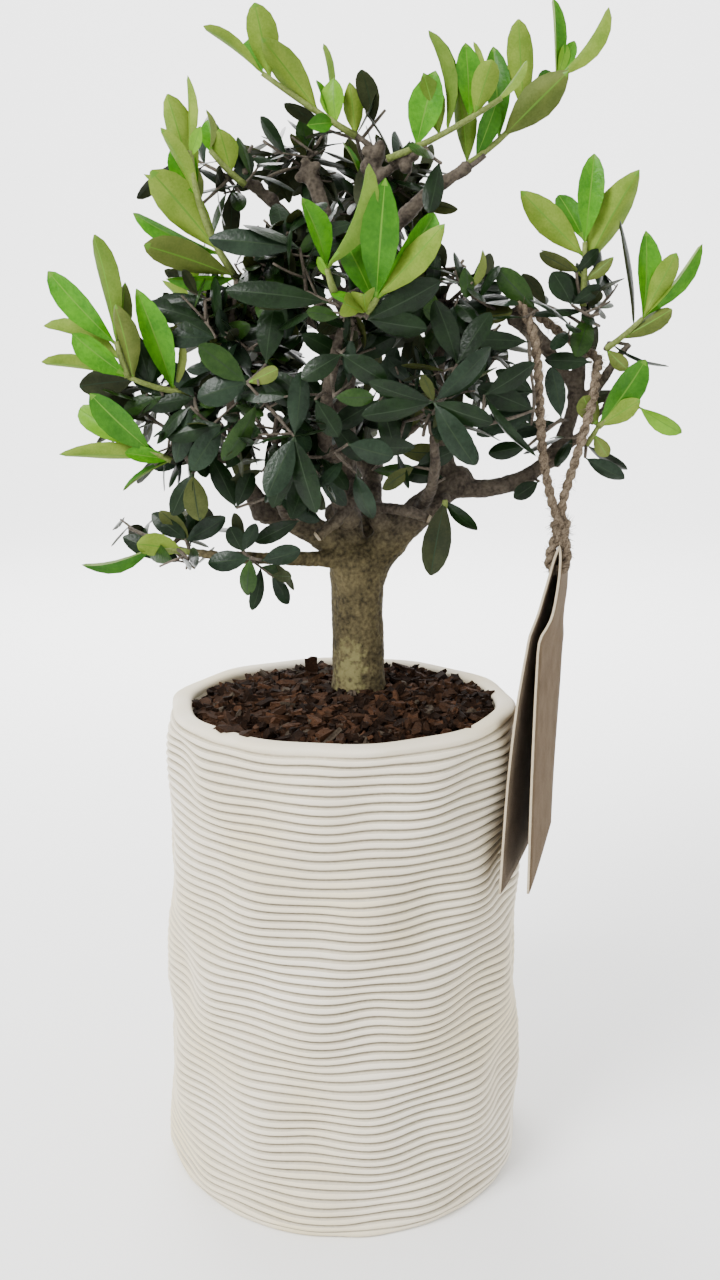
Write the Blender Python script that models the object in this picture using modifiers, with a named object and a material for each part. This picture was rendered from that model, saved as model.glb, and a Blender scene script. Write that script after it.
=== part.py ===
"""A small olive bonsai in a coil-built clay pot, with a blank folded card on twine.

Metres, +Z up, +X to the right and -Y towards the front. The origin is the
centre of the pot's flat underside.
"""
import math
import random

import bmesh
import bpy
import numpy as np
from mathutils import Matrix, Vector

MM = 0.001
GAP = 0.4 * MM
WELD_DISTANCE = 0.01 * MM

# Pot
POT_HEIGHT = 170 * MM
RIM_RADIUS = 60 * MM
BASE_RADIUS = 64.5 * MM
RIM_COIL = 4.4 * MM
RIM_BULGE = 0.7 * MM
FOOT_ROUND = 2.4 * MM
BORE_RADIUS = 51.5 * MM
FLOOR_HEIGHT = 9 * MM
POT_SIDES = 40
COILS = 54
GROOVE_EVERY = 9
GROOVE_DEPTH = 0.9 * MM
GROOVE_REACH = 1.4 * MM
LOBES = 10
LOBE_ANGLE = math.radians(27.5)
LOBE_PERIOD = 75 * MM
LOBE_LEVEL = 152 * MM
LOBE_DEPTH = 1.7 * MM

# Bark mulch
MULCH_RIM_LEVEL = 163.5 * MM
MULCH_TOP_LEVEL = 171 * MM
MULCH_FLAT_RADIUS = 13 * MM
MULCH_SIDES = 28
MULCH_ROUGHNESS = 0.9 * MM

# Trunk
TRUNK_FOOT = Vector((5.5, 6, 171.4)) * MM
TRUNK_LEVELS = (0, 3, 10, 20, 32, 42, 48, 52)
TRUNK_RADII = (9.9, 9.5, 9.2, 9.0, 9.1, 9.8, 9.4, 6.5)
TRUNK_LEAN = -0.6 / 52

# Limbs: name, start, knee and tip in millimetres, then the two end radii
LIMBS = (
    ("leader_low", (3.8, 6.5, 214), (0.0, 8, 250), (1.2, 7.5, 287), 5.6, 3.9),
    ("leader_top", (1.2, 7.5, 284), (6.4, 5, 318), (11, 2, 350), 3.6, 2.6),
    ("right_low", (8, 6, 215), (24.5, 4, 233), (40, 2, 246), 6.4, 4.6),
    ("left_low", (2, 5, 218), (-12, 2, 230), (-27, -4, 236), 5.4, 4.2),
    ("lower_left", (-1, 2, 219), (-29, -13, 221.5), (-50, -16, 224), 3.0, 1.5),
    ("back_low", (6, 8, 214), (10, 26, 236), (9, 42, 256), 5.0, 3.0),
    ("left_rise", (-26, -3.5, 235.5), (-33.5, -7, 252), (-36.4, -5, 276), 3.4, 2.2),
    ("left_side", (-33.5, -7, 252), (-40, -10, 254), (-47, -12, 252), 1.9, 1.4),
    ("left_front", (-15, 1, 231), (-20, -12, 238), (-21, -21, 250), 2.2, 1.4),
    ("right_out", (37, 2, 244), (56, 0, 244.5), (71, 0, 254), 4.0, 3.0),
    ("right_out_rise", (70, 0, 252.5), (77, 0, 268), (78.5, 0, 289), 2.8, 1.9),
    ("right_end", (77.4, 0, 272), (84, -1, 276), (91, -4, 287), 1.7, 1.4),
    ("right_knob", (77.6, 0, 277), (67, -3, 290), (57, -7, 299), 1.7, 2.9),
    ("right_hook", (71, 0, 256), (77, -3, 259), (82, -5, 265), 1.8, 1.3),
    ("right_rise", (37, 2.5, 245), (33, 4, 266), (32.7, 4, 296), 3.2, 2.0),
    ("right_front", (25, 3, 234), (30, -12, 247), (29, -24, 263), 2.4, 1.4),
    ("right_drop", (31, 3, 239), (35, -5, 241), (34, -11, 239), 1.5, 1.1),
    ("front", (2.5, 3, 232), (-5, -24, 262), (1, -38, 296), 3.2, 1.6),
    ("front_left", (2, 7, 288), (-9, -4, 298), (-20, -13, 304), 2.2, 1.4),
    ("upper_left", (2.6, 7, 300), (-14, 5, 327), (-32, 0, 343), 2.5, 1.6),
    ("upper_spur", (4, 6.5, 310), (-4, 13, 330), (-11, 15, 347), 2.0, 2.8),
    ("top_right", (4.6, 6, 305), (18, 2, 329), (38.7, -2, 345), 3.0, 1.9),
    ("top_spur", (9.5, 3, 342), (15, 0.5, 345.5), (21, -3, 348), 1.9, 1.5),
    ("cut_stub_left", (2.4, 5, 236), (-1, -4, 234), (-8, -12, 228.7), 2.3, 2.1),
    ("cut_stub_right", (11, 5, 232), (18, -1, 235.5), (28.8, -8, 234.2), 2.2, 1.9),
    ("back_left", (9.6, 34, 246), (-8, 38, 262), (-26, 40, 277), 2.4, 1.6),
    ("back_right", (9.4, 36, 249), (26, 40, 262), (41, 42, 278), 2.4, 1.6),
    ("back_top", (5.4, 6, 312), (8, 22, 322), (10, 35, 335), 2.4, 1.7),
)
LIMB_STEPS = 7
FINE_LIMB_RADIUS = 2.3

# Foliage: name, limb that carries it, hub in millimetres, mature twigs, seed
MASSES = (
    ("top_left", "leader_top", (4, 1, 357), 4, 11),
    ("top_middle", "top_spur", (27, -6, 352), 3, 12),
    ("top_right_spray", "top_right", (46, -1, 350), 4, 13),
    ("upper_left_spray", "upper_left", (-37, -3, 343), 5, 14),
    ("upper_back", "upper_spur", (-15, 27, 350), 6, 15),
    ("shoulder_left", "left_rise", (-35, -14, 300), 5, 16),
    ("far_left", "left_side", (-56, -18, 266), 5, 17),
    ("low_left", "lower_left", (-57, -18, 226), 4, 18),
    ("inner_left", "left_front", (-21, -27, 264), 9, 19),
    ("front_top", "front", (3, -43, 302), 4, 40),
    ("chest_left", "front_left", (-23, -18, 314), 8, 21),
    ("inner_right", "right_front", (28, -28, 271), 9, 22),
    ("under_right", "right_drop", (34, -15, 236), 1, 23),
    ("shoulder_right", "right_rise", (34, 1, 308), 8, 24),
    ("far_right", "right_out_rise", (80, 1, 300), 5, 25),
    ("tip_right", "right_end", (94, -6, 291), 3, 26),
    ("low_right", "right_hook", (86, -7, 270), 3, 27),
    ("back_left_spray", "back_left", (-36, 42, 288), 6, 28),
    ("back_right_spray", "back_right", (52, 44, 288), 6, 29),
    ("back_middle", "back_low", (8, 54, 268), 5, 30),
    ("back_crown", "back_top", (12, 44, 342), 5, 31),
)

# Young shoots: mass, foot and tip in millimetres, leaf pairs, leaf length, roll in degrees
YOUNG_SHOOTS = (
    ("top_left", (3, 1, 356), (-25, -4, 374), 3, 24, 20),
    ("top_left", (5, 2, 356), (6, 2, 363), 1, 15, 60),
    ("top_middle", (27, -6, 352), (49, -12, 364), 4, 25, 70),
    ("top_right_spray", (47, -1, 350), (69, 3, 373), 4, 27, 30),
    ("upper_left_spray", (-37, -3, 344), (-41, -6, 352), 2, 16, 40),
    ("shoulder_left", (-35, -15, 306), (-44, -29, 345), 5, 31, 35),
    ("far_left", (-52, -16, 272), (-70, -25, 296), 3, 29, 10),
    ("far_left", (-54, -18, 274), (-54, -33, 287), 2, 20, 70),
    ("far_left", (-57, -17, 262), (-66, -20, 261), 2, 25, 65),
    ("low_left", (-58, -18, 226), (-66, -21, 224), 1, 18, 80),
    ("front_top", (5, -43, 301), (9, -49, 309), 3, 30, 30),
    ("front_top", (1, -43, 303), (-5, -50, 315), 2, 20, 0),
    ("far_right", (80, 1, 303), (78, -2, 325), 3, 26, 25),
    ("tip_right", (94, -6, 291), (98, -8, 301), 3, 24, 45),
    ("low_right", (86, -7, 270), (93, -8, 271), 2, 22, 70),
    ("under_right", (34, -15, 236), (33, -17, 229), 1, 19, 0),
)

MATURE_LEAF = 24 * MM
MATURE_PAIRS = 2
MATURE_REACH = 17 * MM
LEAF_TRIES = 5
LEAF_WIDTH = 0.42
LEAF_THICKNESS = 0.04
LEAF_WIDEST = 0.04
LEAF_ARCH = 0.05
LEAF_SUNK = 0.25 * MM
PAIR_INSET = 1.2 * MM
LEAF_APART = 2.2 * MM
STEM_RADIUS = 1.5 * MM
STEM_TIP_RADIUS = 1.2 * MM
TWIG_RADIUS = 0.85 * MM
TWIG_TIP_RADIUS = 0.7 * MM
NEAR_HUB = 5 * MM
SPACE_MARGIN = 0.5 * MM
LIMB_MARGIN = 0.9 * MM
CROWN_FLOOR = 201 * MM
PAIR_SPACING = 6.5 * MM
GOLDEN_ANGLE = math.pi * (3 - math.sqrt(5))

# Twine: the loop's route in millimetres, from the knot up, over its twigs and back
TWINE_RADIUS = 1.6 * MM
TWINE_SIDES_RESOLUTION = 1
TWINE_STEPS = 2
KNOT = Vector((72.3, -12, 232)) * MM
KNOT_RADIUS = 3.4 * MM
TWINE_ROUTE = (
    (71.6, -12.3, 234), (68.6, -13, 243), (65.8, -13.6, 256), (64.4, -14, 270),
    (63.2, -14.2, 284), (61.2, -14, 295), (57.9, -12.4, 302.2), (57.2, -8, 304.6),
    (59.6, -2.6, 303.6), (64, 2.6, 301), (70, 6.2, 297), (77, 7.4, 292),
    (83.2, 5.8, 288.4), (85.4, 1.2, 285.8), (85.2, -4.9, 282.4), (84.2, -9.4, 274.6),
    (80.6, -9.8, 265), (76.8, -10.8, 253), (73.4, -11.6, 241), (72.8, -11.8, 234),
)

# Folded card: it hangs from a hole near the front end of its fold
CARD_LENGTH = 114 * MM
CARD_WIDTH = 46 * MM
CARD_THICKNESS = 0.8 * MM
CARD_PEAK = Vector((71.8, -16, 226)) * MM
CARD_TILT = math.radians(16)
CARD_TURN = math.radians(13)
CARD_BEND = 8.2 * MM
CARD_BEND_LENGTH = 20 * MM
CARD_LEAN = 2.9 * MM
CARD_FLARE = ((0, 0), (5, 2.8), (10, 4.2), (17, 4.8), (30, 4.0), (52, 6), (85, 8.2), (114, 8.8))
CARD_FAR_FLARE = 0.55
CARD_HOLE_PLACE = 5.5 * MM
CARD_HOLE_CLEARANCE = 0.5 * MM
TAIL_RADIUS = 1.0 * MM
STOP_KNOT_RADIUS = 1.2 * MM
STOP_KNOT_DROP = 10 * MM

CLAY = ((0.80, 0.77, 0.69), 0.75)
MULCH = ((0.09, 0.035, 0.025), 0.9)
BARK = ((0.20, 0.15, 0.09), 0.85)
DARK_LEAF = ((0.035, 0.08, 0.045), 0.45)
YOUNG_LEAF = ((0.22, 0.42, 0.08), 0.4)
JUTE = ((0.36, 0.24, 0.15), 0.95)
KRAFT = ((0.50, 0.36, 0.24), 0.8)


def clear_scene():
    for scene_object in list(bpy.data.objects):
        bpy.data.objects.remove(scene_object, do_unlink=True)


def new_collection(name):
    collection = bpy.data.collections.new(name)
    bpy.context.scene.collection.children.link(collection)
    return collection


def give_material(piece, name, finish):
    colour, roughness = finish
    material = bpy.data.materials.new(name)
    material.use_nodes = True
    shader = material.node_tree.nodes["Principled BSDF"]
    shader.inputs["Base Color"].default_value = (*colour, 1)
    shader.inputs["Roughness"].default_value = roughness
    shader.inputs["Metallic"].default_value = 0
    material.diffuse_color = (*colour, 1)
    piece.data.materials.clear()
    piece.data.materials.append(material)


def object_from_bmesh(name, shape, collection):
    mesh = bpy.data.meshes.new(name)
    shape.to_mesh(mesh)
    shape.free()
    piece = bpy.data.objects.new(name, mesh)
    collection.objects.link(piece)
    return piece


def evaluated_copy(piece, name, collection):
    """A plain mesh object of a piece as its modifiers leave it; the piece is removed."""
    bpy.context.view_layer.update()
    graph = bpy.context.evaluated_depsgraph_get()
    mesh = bpy.data.meshes.new_from_object(piece.evaluated_get(graph))
    place = piece.matrix_world.copy()
    bpy.data.objects.remove(piece, do_unlink=True)
    mesh.name = name
    copy = bpy.data.objects.new(name, mesh)
    copy.matrix_world = place
    collection.objects.link(copy)
    return copy


def weld(piece, distance):
    shape = bmesh.new()
    shape.from_mesh(piece.data)
    bmesh.ops.remove_doubles(shape, verts=shape.verts, dist=distance)
    bmesh.ops.dissolve_degenerate(shape, edges=shape.edges, dist=distance)
    bmesh.ops.triangulate(shape, faces=shape.faces)
    shape.to_mesh(piece.data)
    shape.free()


def tube(name, places, radii, resolution, collection):
    """A round tapering tube through the places, as a closed mesh."""
    curve = bpy.data.curves.new(name, "CURVE")
    curve.dimensions = "3D"
    curve.bevel_depth = MM
    curve.bevel_resolution = resolution
    curve.use_fill_caps = True
    spline = curve.splines.new("POLY")
    spline.points.add(len(places) - 1)
    for point, place, radius in zip(spline.points, places, radii):
        point.co = (*place, 1)
        point.radius = radius / MM
    piece = bpy.data.objects.new(name, curve)
    collection.objects.link(piece)
    piece = evaluated_copy(piece, name, collection)
    weld(piece, WELD_DISTANCE)
    return piece


def grown_copy(piece, amount, collection):
    """A copy whose faces stand proud of the piece's by the amount, to cut with."""
    shape = bmesh.new()
    shape.from_mesh(piece.data)
    shape.normal_update()
    for vertex in shape.verts:
        vertex.co += vertex.normal * amount
    cutter = object_from_bmesh(piece.name + "_cutter", shape, collection)
    cutter.hide_render = True
    cutter.display_type = "WIRE"
    return cutter


def cut(piece, cutter, collection):
    modifier = piece.modifiers.new("Cut", "BOOLEAN")
    modifier.operation = "DIFFERENCE"
    modifier.solver = "EXACT"
    modifier.object = cutter
    return evaluated_copy(piece, piece.name, collection)


def is_closed(piece):
    shape = bmesh.new()
    shape.from_mesh(piece.data)
    closed = all(edge.is_manifold for edge in shape.edges)
    shape.free()
    return closed


def join(piece, parts, collection):
    """Unites the piece with everything in the parts collection, which is then emptied."""
    name = piece.name
    piece.name = name + "_start"
    for solver in ("EXACT", "MANIFOLD"):
        trial = bpy.data.objects.new(name + "_trial", piece.data)
        collection.objects.link(trial)
        modifier = trial.modifiers.new("Join", "BOOLEAN")
        modifier.operation = "UNION"
        modifier.solver = solver
        modifier.operand_type = "COLLECTION"
        modifier.collection = parts
        joined = evaluated_copy(trial, name, collection)
        if solver == "MANIFOLD" or is_closed(joined):
            break
        bpy.data.objects.remove(joined, do_unlink=True)
    for part in list(parts.objects) + [piece]:
        bpy.data.objects.remove(part, do_unlink=True)
    bpy.data.collections.remove(parts)
    return joined


def face_islands(shape):
    """The groups of faces that hang together."""
    islands = []
    unseen = set(shape.faces)
    while unseen:
        island = [unseen.pop()]
        for face in island:
            for edge in face.edges:
                for other in edge.link_faces:
                    if other in unseen:
                        unseen.remove(other)
                        island.append(other)
        islands.append(island)
    return islands


def island_volume(island):
    volume = 0
    for face in island:
        first = face.verts[0].co
        for second, third in zip(face.verts[1:], face.verts[2:]):
            volume += first.dot(second.co.cross(third.co)) / 6
    return volume


def keep_main_body(piece):
    """Drops loose scraps and fills sealed hollows: only the largest shell stays."""
    shape = bmesh.new()
    shape.from_mesh(piece.data)
    islands = face_islands(shape)
    main = max(islands, key=island_volume)
    scraps = [face for island in islands if island is not main for face in island]
    bmesh.ops.delete(shape, geom=scraps, context="FACES")
    shape.to_mesh(piece.data)
    shape.free()


def wall_radius(level):
    """The pot narrows evenly from its foot to its rim."""
    return BASE_RADIUS + (RIM_RADIUS - BASE_RADIUS) * level / POT_HEIGHT


def pot_wave(angle, level):
    """How far the lobed wall stands out at an angle from the front and a level."""
    around = math.cos(LOBES * (angle - LOBE_ANGLE))
    along = math.cos(2 * math.pi * (level - LOBE_LEVEL) / LOBE_PERIOD)
    fade = min(1, level / (12 * MM), (POT_HEIGHT - level) / (9 * MM))
    return LOBE_DEPTH * around * along * max(0, fade)


def pot_profile():
    """Radius and level down the outside, from the rim's crown to the foot.

    The wall is a stack of equal coils, and keeps the groove under every ninth of them.
    """
    wall_top = POT_HEIGHT - RIM_COIL
    points = [(RIM_RADIUS - RIM_COIL * 0.9, POT_HEIGHT)]
    points.append((RIM_RADIUS - RIM_COIL * 0.15, POT_HEIGHT - RIM_COIL * 0.25))
    points.append((RIM_RADIUS + RIM_BULGE, POT_HEIGHT - RIM_COIL * 0.6))
    points.append((wall_radius(wall_top), wall_top))
    spacing = (wall_top - FOOT_ROUND) / COILS * GROOVE_EVERY
    bands = COILS // GROOVE_EVERY
    for band in range(bands):
        groove = wall_top - spacing * (band + 1)
        points.append((wall_radius(groove + spacing / 2), groove + spacing / 2))
        if band < bands - 1:
            points.append((wall_radius(groove + GROOVE_REACH), groove + GROOVE_REACH))
            points.append((wall_radius(groove) - GROOVE_DEPTH, groove))
            points.append((wall_radius(groove - GROOVE_REACH), groove - GROOVE_REACH))
    points.append((wall_radius(FOOT_ROUND), FOOT_ROUND))
    points.append((BASE_RADIUS - FOOT_ROUND, 0))
    return points


def inner_profile():
    return [
        (BORE_RADIUS, FLOOR_HEIGHT),
        (BORE_RADIUS, POT_HEIGHT - RIM_COIL * 0.5),
        (BORE_RADIUS + RIM_COIL * 0.35, POT_HEIGHT - RIM_COIL * 0.08),
    ]


def spin_profile(profile, sides, first_angle):
    """A closed turned shape; both ends of the profile are closed with a flat face."""
    shape = bmesh.new()
    ring = [shape.verts.new((radius, 0, level)) for radius, level in profile]
    edges = [shape.edges.new(pair) for pair in zip(ring, ring[1:])]
    turn = Matrix.Rotation(first_angle, 3, "Z")
    bmesh.ops.rotate(shape, verts=shape.verts, matrix=turn)
    bmesh.ops.spin(
        shape, geom=ring + edges, axis=(0, 0, 1), cent=(0, 0, 0),
        angle=2 * math.pi, steps=sides, use_merge=True)
    bmesh.ops.remove_doubles(shape, verts=shape.verts, dist=WELD_DISTANCE)
    for level in (profile[0][1], profile[-1][1]):
        rim = [edge for edge in shape.edges
               if edge.is_boundary and abs(edge.verts[0].co.z - level) < WELD_DISTANCE]
        bmesh.ops.contextual_create(shape, geom=rim)
    bmesh.ops.recalc_face_normals(shape, faces=shape.faces)
    return shape


def make_pot(collection):
    profile = inner_profile() + pot_profile()
    shape = spin_profile(profile, POT_SIDES, LOBE_ANGLE - math.pi / 2)
    for vertex in shape.verts:
        radius = math.hypot(vertex.co.x, vertex.co.y)
        if radius > BORE_RADIUS + RIM_COIL:
            angle = math.atan2(vertex.co.x, -vertex.co.y)
            scale = 1 + pot_wave(angle, vertex.co.z) / radius
            vertex.co.x *= scale
            vertex.co.y *= scale
    bmesh.ops.triangulate(shape, faces=shape.faces)
    pot = object_from_bmesh("pot", shape, collection)
    give_material(pot, "clay", CLAY)


def make_mulch(collection):
    """Soil fills the pot; its top is a low mound of bark chips, level under the trunk."""
    rng = random.Random(5)
    edge = BORE_RADIUS - GAP
    profile = [(MULCH_FLAT_RADIUS, MULCH_TOP_LEVEL)]
    for share, fall in ((0.25, 0.18), (0.5, 0.5), (0.75, 0.82)):
        radius = MULCH_FLAT_RADIUS + (edge - MULCH_FLAT_RADIUS) * share
        level = MULCH_TOP_LEVEL + (MULCH_RIM_LEVEL - MULCH_TOP_LEVEL) * fall
        profile.append((radius, level))
    profile += [(edge, MULCH_RIM_LEVEL), (edge, FLOOR_HEIGHT + GAP)]
    shape = spin_profile(profile, MULCH_SIDES, 0)
    for vertex in shape.verts:
        radius = math.hypot(vertex.co.x, vertex.co.y)
        if MULCH_FLAT_RADIUS * 1.1 < radius < edge * 0.99:
            vertex.co.z += rng.uniform(-MULCH_ROUGHNESS, MULCH_ROUGHNESS)
    offset = Vector((TRUNK_FOOT.x, TRUNK_FOOT.y, 0))
    for vertex in shape.verts:
        if vertex.co.z > MULCH_RIM_LEVEL:
            radius = math.hypot(vertex.co.x, vertex.co.y)
            vertex.co += offset * max(0, 1 - radius / edge)
    bmesh.ops.triangulate(shape, faces=shape.faces)
    mulch = object_from_bmesh("mulch", shape, collection)
    give_material(mulch, "bark_chips", MULCH)


def through(start, knee, tip, share):
    """A point on the smooth arc that passes the knee half way."""
    control = knee * 2 - (start + tip) * 0.5
    return start.lerp(control, share).lerp(control.lerp(tip, share), share)


def limb_route(start, knee, tip):
    return [through(start, knee, tip, step / (LIMB_STEPS - 1)) for step in range(LIMB_STEPS)]


def limb_radii(first, last):
    return [first + (last - first) * step / (LIMB_STEPS - 1) for step in range(LIMB_STEPS)]


def millimetres(place):
    return Vector(place) * MM


def make_trunk(collection):
    places = [TRUNK_FOOT + Vector((TRUNK_LEAN * level, 0, level)) * MM for level in TRUNK_LEVELS]
    radii = [radius * MM for radius in TRUNK_RADII]
    trunk = tube("trunk", places, radii, 6, collection)
    give_material(trunk, "bark_trunk", BARK)
    return trunk


def make_limbs(trunk, collection, cutters):
    """Each limb is cut clear of the trunk and of the limbs made before it."""
    earlier = [grown_copy(trunk, GAP, cutters)]
    for name, start, knee, tip, first, last in LIMBS:
        route = limb_route(millimetres(start), millimetres(knee), millimetres(tip))
        radii = limb_radii(first * MM, last * MM)
        resolution = 2 if first > FINE_LIMB_RADIUS else 1
        limb = tube(name, route, radii, resolution, collection)
        grown = grown_copy(limb, GAP, cutters)
        for cutter in earlier:
            if boxes_meet(limb, cutter):
                limb = cut(limb, cutter, collection)
        weld(limb, 2 * WELD_DISTANCE)
        keep_main_body(limb)
        give_material(limb, "bark_" + name, BARK)
        earlier.append(grown)
    for cutter in earlier:
        bpy.data.objects.remove(cutter, do_unlink=True)


def boxes_meet(one, other):
    corners = []
    for piece in (one, other):
        places = np.array([vertex.co for vertex in piece.data.vertices])
        corners.append((places.min(axis=0), places.max(axis=0)))
    (low, high), (other_low, other_high) = corners
    return bool(np.all(low < other_high) and np.all(other_low < high))


def obstacle_segments():
    """The limbs, the twine and its knot as straight rods: both ends and the radius."""
    rods = []
    places = [TRUNK_FOOT + Vector((0, 0, level)) * MM for level in TRUNK_LEVELS]
    rods += [(a, b, TRUNK_RADII[3] * MM) for a, b in zip(places, places[1:])]
    for _name, start, knee, tip, first, last in LIMBS:
        route = limb_route(millimetres(start), millimetres(knee), millimetres(tip))
        radii = limb_radii(first * MM, last * MM)
        rods += list(zip(route, route[1:], radii))
    route = twine_route()
    rods += [(a, b, TWINE_RADIUS) for a, b in zip(route, route[1:])]
    rods.append((KNOT, card_place(0, CARD_HOLE_PLACE, 0), KNOT_RADIUS))
    starts = np.array([rod[0] for rod in rods])
    ends = np.array([rod[1] for rod in rods])
    return starts, ends - starts, np.array([rod[2] for rod in rods])


def clear_of_limbs(points, rods):
    starts, spans, radii = rods
    lengths = np.maximum((spans * spans).sum(axis=1), 1e-12)
    for point in points:
        away = np.array(point) - starts
        share = np.clip((away * spans).sum(axis=1) / lengths, 0, 1)
        distance = np.linalg.norm(away - spans * share[:, None], axis=1)
        if (distance < radii + LIMB_MARGIN).any():
            return False
    return True


def space_sites():
    """The points that share out the crown: every hub, shoot foot, middle and tip."""
    sites, owners = [], []
    for name, _limb, hub, _count, _seed in MASSES:
        sites.append(millimetres(hub))
        owners.append(name)
        for mass, foot, tip, _pairs, leaf, _roll in YOUNG_SHOOTS:
            if mass == name:
                foot, tip = millimetres(foot), millimetres(tip)
                beyond = tip + (tip - foot).normalized() * leaf * MM * 0.6
                sites += [foot.lerp(tip, 0.5), tip, beyond]
                owners += [name] * 3
    return np.array(sites), np.array(owners)


def in_own_space(points, mass, sites, owners):
    """True where every point is nearer to the mass's own sites, with a margin to spare."""
    own = sites[owners == mass]
    others = sites[owners != mass]
    for point in points:
        if point.z < CROWN_FLOOR:
            return False
        place = np.array(point)
        near = own[np.argmin(((own - place) ** 2).sum(axis=1))]
        ahead = ((others - place) ** 2).sum(axis=1) - ((near - place) ** 2).sum()
        if (ahead < 2 * SPACE_MARGIN * np.linalg.norm(others - near, axis=1)).any():
            return False
    return True


def leaf_points(root, along, face, length):
    """Points over a leaf's blade, from near its root to its tip."""
    side = along.cross(face)
    points = []
    for share in (0.25, 0.42, 0.6, 0.78, 1.0):
        middle = root + along * length * share + face * LEAF_ARCH * length * 4 * share * (1 - share)
        half = side * length * LEAF_WIDTH * 0.5 * min(1, 2.2 * (1 - share) + 0.12)
        points += [middle, middle + half, middle - half]
    return points


class Spray:
    """Grows one mass: a stem, twigs by a seeded rule, and leaves in crossed pairs."""

    def __init__(self, name, limb, hub, count, seed, rods, sites, owners):
        self.name = name
        self.rng = random.Random(seed)
        self.rods, self.sites, self.owners = rods, sites, owners
        self.twigs, self.leaves, self.taken = [], [], []
        start, knee, tip = [millimetres(place) for place in limb_places(limb)]
        heading = (tip - through(start, knee, tip, 0.9)).normalized()
        hub = millimetres(hub)
        slant = heading.angle(hub - tip)
        self.base = tip + heading * (GAP + STEM_RADIUS * math.sin(slant))
        self.hub = hub
        self.twigs.append((self.base, hub, STEM_RADIUS, STEM_TIP_RADIUS))
        for mass, foot, end, pairs, leaf, roll in YOUNG_SHOOTS:
            if mass == name:
                self.young_shoot(millimetres(foot), millimetres(end), pairs, leaf * MM, roll)
        for number in range(count):
            self.mature_shoot(number, count)

    def fits(self, points):
        return (clear_of_limbs(points, self.rods)
                and in_own_space(points, self.name, self.sites, self.owners))

    def young_shoot(self, foot, end, pairs, leaf, roll):
        if (foot - self.hub).length > NEAR_HUB:
            self.twigs.append((self.hub, foot, TWIG_RADIUS * 1.15, TWIG_RADIUS))
        else:
            foot = self.base.lerp(self.hub, 0.97 - 0.06 * len(self.twigs))
        self.twigs.append((foot, end, TWIG_RADIUS, TWIG_TIP_RADIUS))
        self.leaf_pairs(foot, end, pairs, leaf, math.radians(roll), True)

    def mature_shoot(self, number, count):
        """Twig ends are spread evenly over a ball round the hub by the golden angle."""
        height = 1 - 2 * (number + 0.5) / count
        angle = GOLDEN_ANGLE * number + self.rng.uniform(0, 0.5)
        flat = math.sqrt(1 - height * height)
        heading = Vector((flat * math.cos(angle), flat * math.sin(angle), height * 0.8 + 0.12))
        foot = self.base.lerp(self.hub, self.rng.uniform(0.45, 0.98))
        for stretch in (1, 0.75, 0.5):
            end = foot + heading * MATURE_REACH * stretch * self.rng.uniform(0.75, 1.05)
            if self.fits([foot.lerp(end, share) for share in (0.35, 0.6, 0.8, 1)]):
                self.twigs.append((foot, end, TWIG_RADIUS, TWIG_TIP_RADIUS))
                roll = self.rng.uniform(0, math.pi)
                self.leaf_pairs(foot, end, MATURE_PAIRS, MATURE_LEAF, roll, False)
                return

    def leaf_pairs(self, foot, end, pairs, length, roll, young):
        """Opposite leaves, each pair turned a quarter from the last; the end pair is closest."""
        span = end - foot
        axis = span.normalized()
        spacing = min(PAIR_SPACING * (1.4 if young else 1), span.length * 0.85 / max(1, pairs))
        across = axis.orthogonal().normalized()
        for pair in range(pairs):
            place = end - axis * (PAIR_INSET + spacing * pair)
            lean = (0.42 + 0.2 * pair) if young else (0.75 + 0.2 * pair)
            for half in range(2):
                turn = roll + pair * math.pi / 2 + half * math.pi
                self.leaf(place, axis, across, turn, lean, length, young)
        if young:
            place = end - axis * PAIR_INSET / 2
            self.leaf(place, axis, across, roll + math.pi / 4, 0.12, length * 0.7, True)

    def leaf(self, place, axis, across, turn, lean, length, young):
        for attempt in range(LEAF_TRIES):
            angle = turn + self.rng.uniform(-0.3, 0.3) * (1 + attempt)
            tilt = lean + self.rng.uniform(-0.12, 0.12)
            size = length * self.rng.uniform(0.85, 1.08) * (1 - 0.08 * attempt)
            outward = Matrix.Rotation(angle, 3, axis) @ across
            along = axis * math.cos(tilt) + outward * math.sin(tilt)
            along = (along + Vector((0, 0, 0.15 if young else -0.1))).normalized()
            face = axis * math.sin(tilt) - outward * math.cos(tilt)
            face = face + Vector((0, 0, 0.25 if young else 0.9))
            face = (face - along * face.dot(along)).normalized()
            root = place - along * LEAF_SUNK
            points = leaf_points(root, along, face, size)
            outer = np.array(points[3:])
            if self.fits(points) and self.apart(outer):
                self.taken.append(outer)
                self.leaves.append((root, along, face, size, young))
                return

    def apart(self, outer):
        for other in self.taken:
            gaps = np.linalg.norm(outer[:, None] - other[None], axis=2)
            if gaps.min() < LEAF_APART:
                return False
        return True


def limb_places(name):
    for limb, start, knee, tip, _first, _last in LIMBS:
        if limb == name:
            return start, knee, tip
    raise ValueError("no limb named " + name)


def leaf_solid(root, along, face, length, collection):
    """A blade of eight faces, widest past its middle, with a thin keel."""
    shape = bmesh.new()
    bmesh.ops.create_uvsphere(shape, u_segments=4, v_segments=2, radius=1)
    for vertex in shape.verts:
        across, thick, share = vertex.co
        ring = 1 - abs(share)
        vertex.co.x = across * length * LEAF_WIDTH / 2
        vertex.co.y = thick * length * LEAF_THICKNESS / 2 + ring * LEAF_ARCH * length
        vertex.co.z = (share + 1 + ring * LEAF_WIDEST) * length / 2
    frame = Matrix((along.cross(face), face, along)).transposed().to_4x4()
    frame.translation = root
    bmesh.ops.transform(shape, matrix=frame, verts=shape.verts)
    bmesh.ops.recalc_face_normals(shape, faces=shape.faces)
    return object_from_bmesh("leaf", shape, collection)


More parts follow.
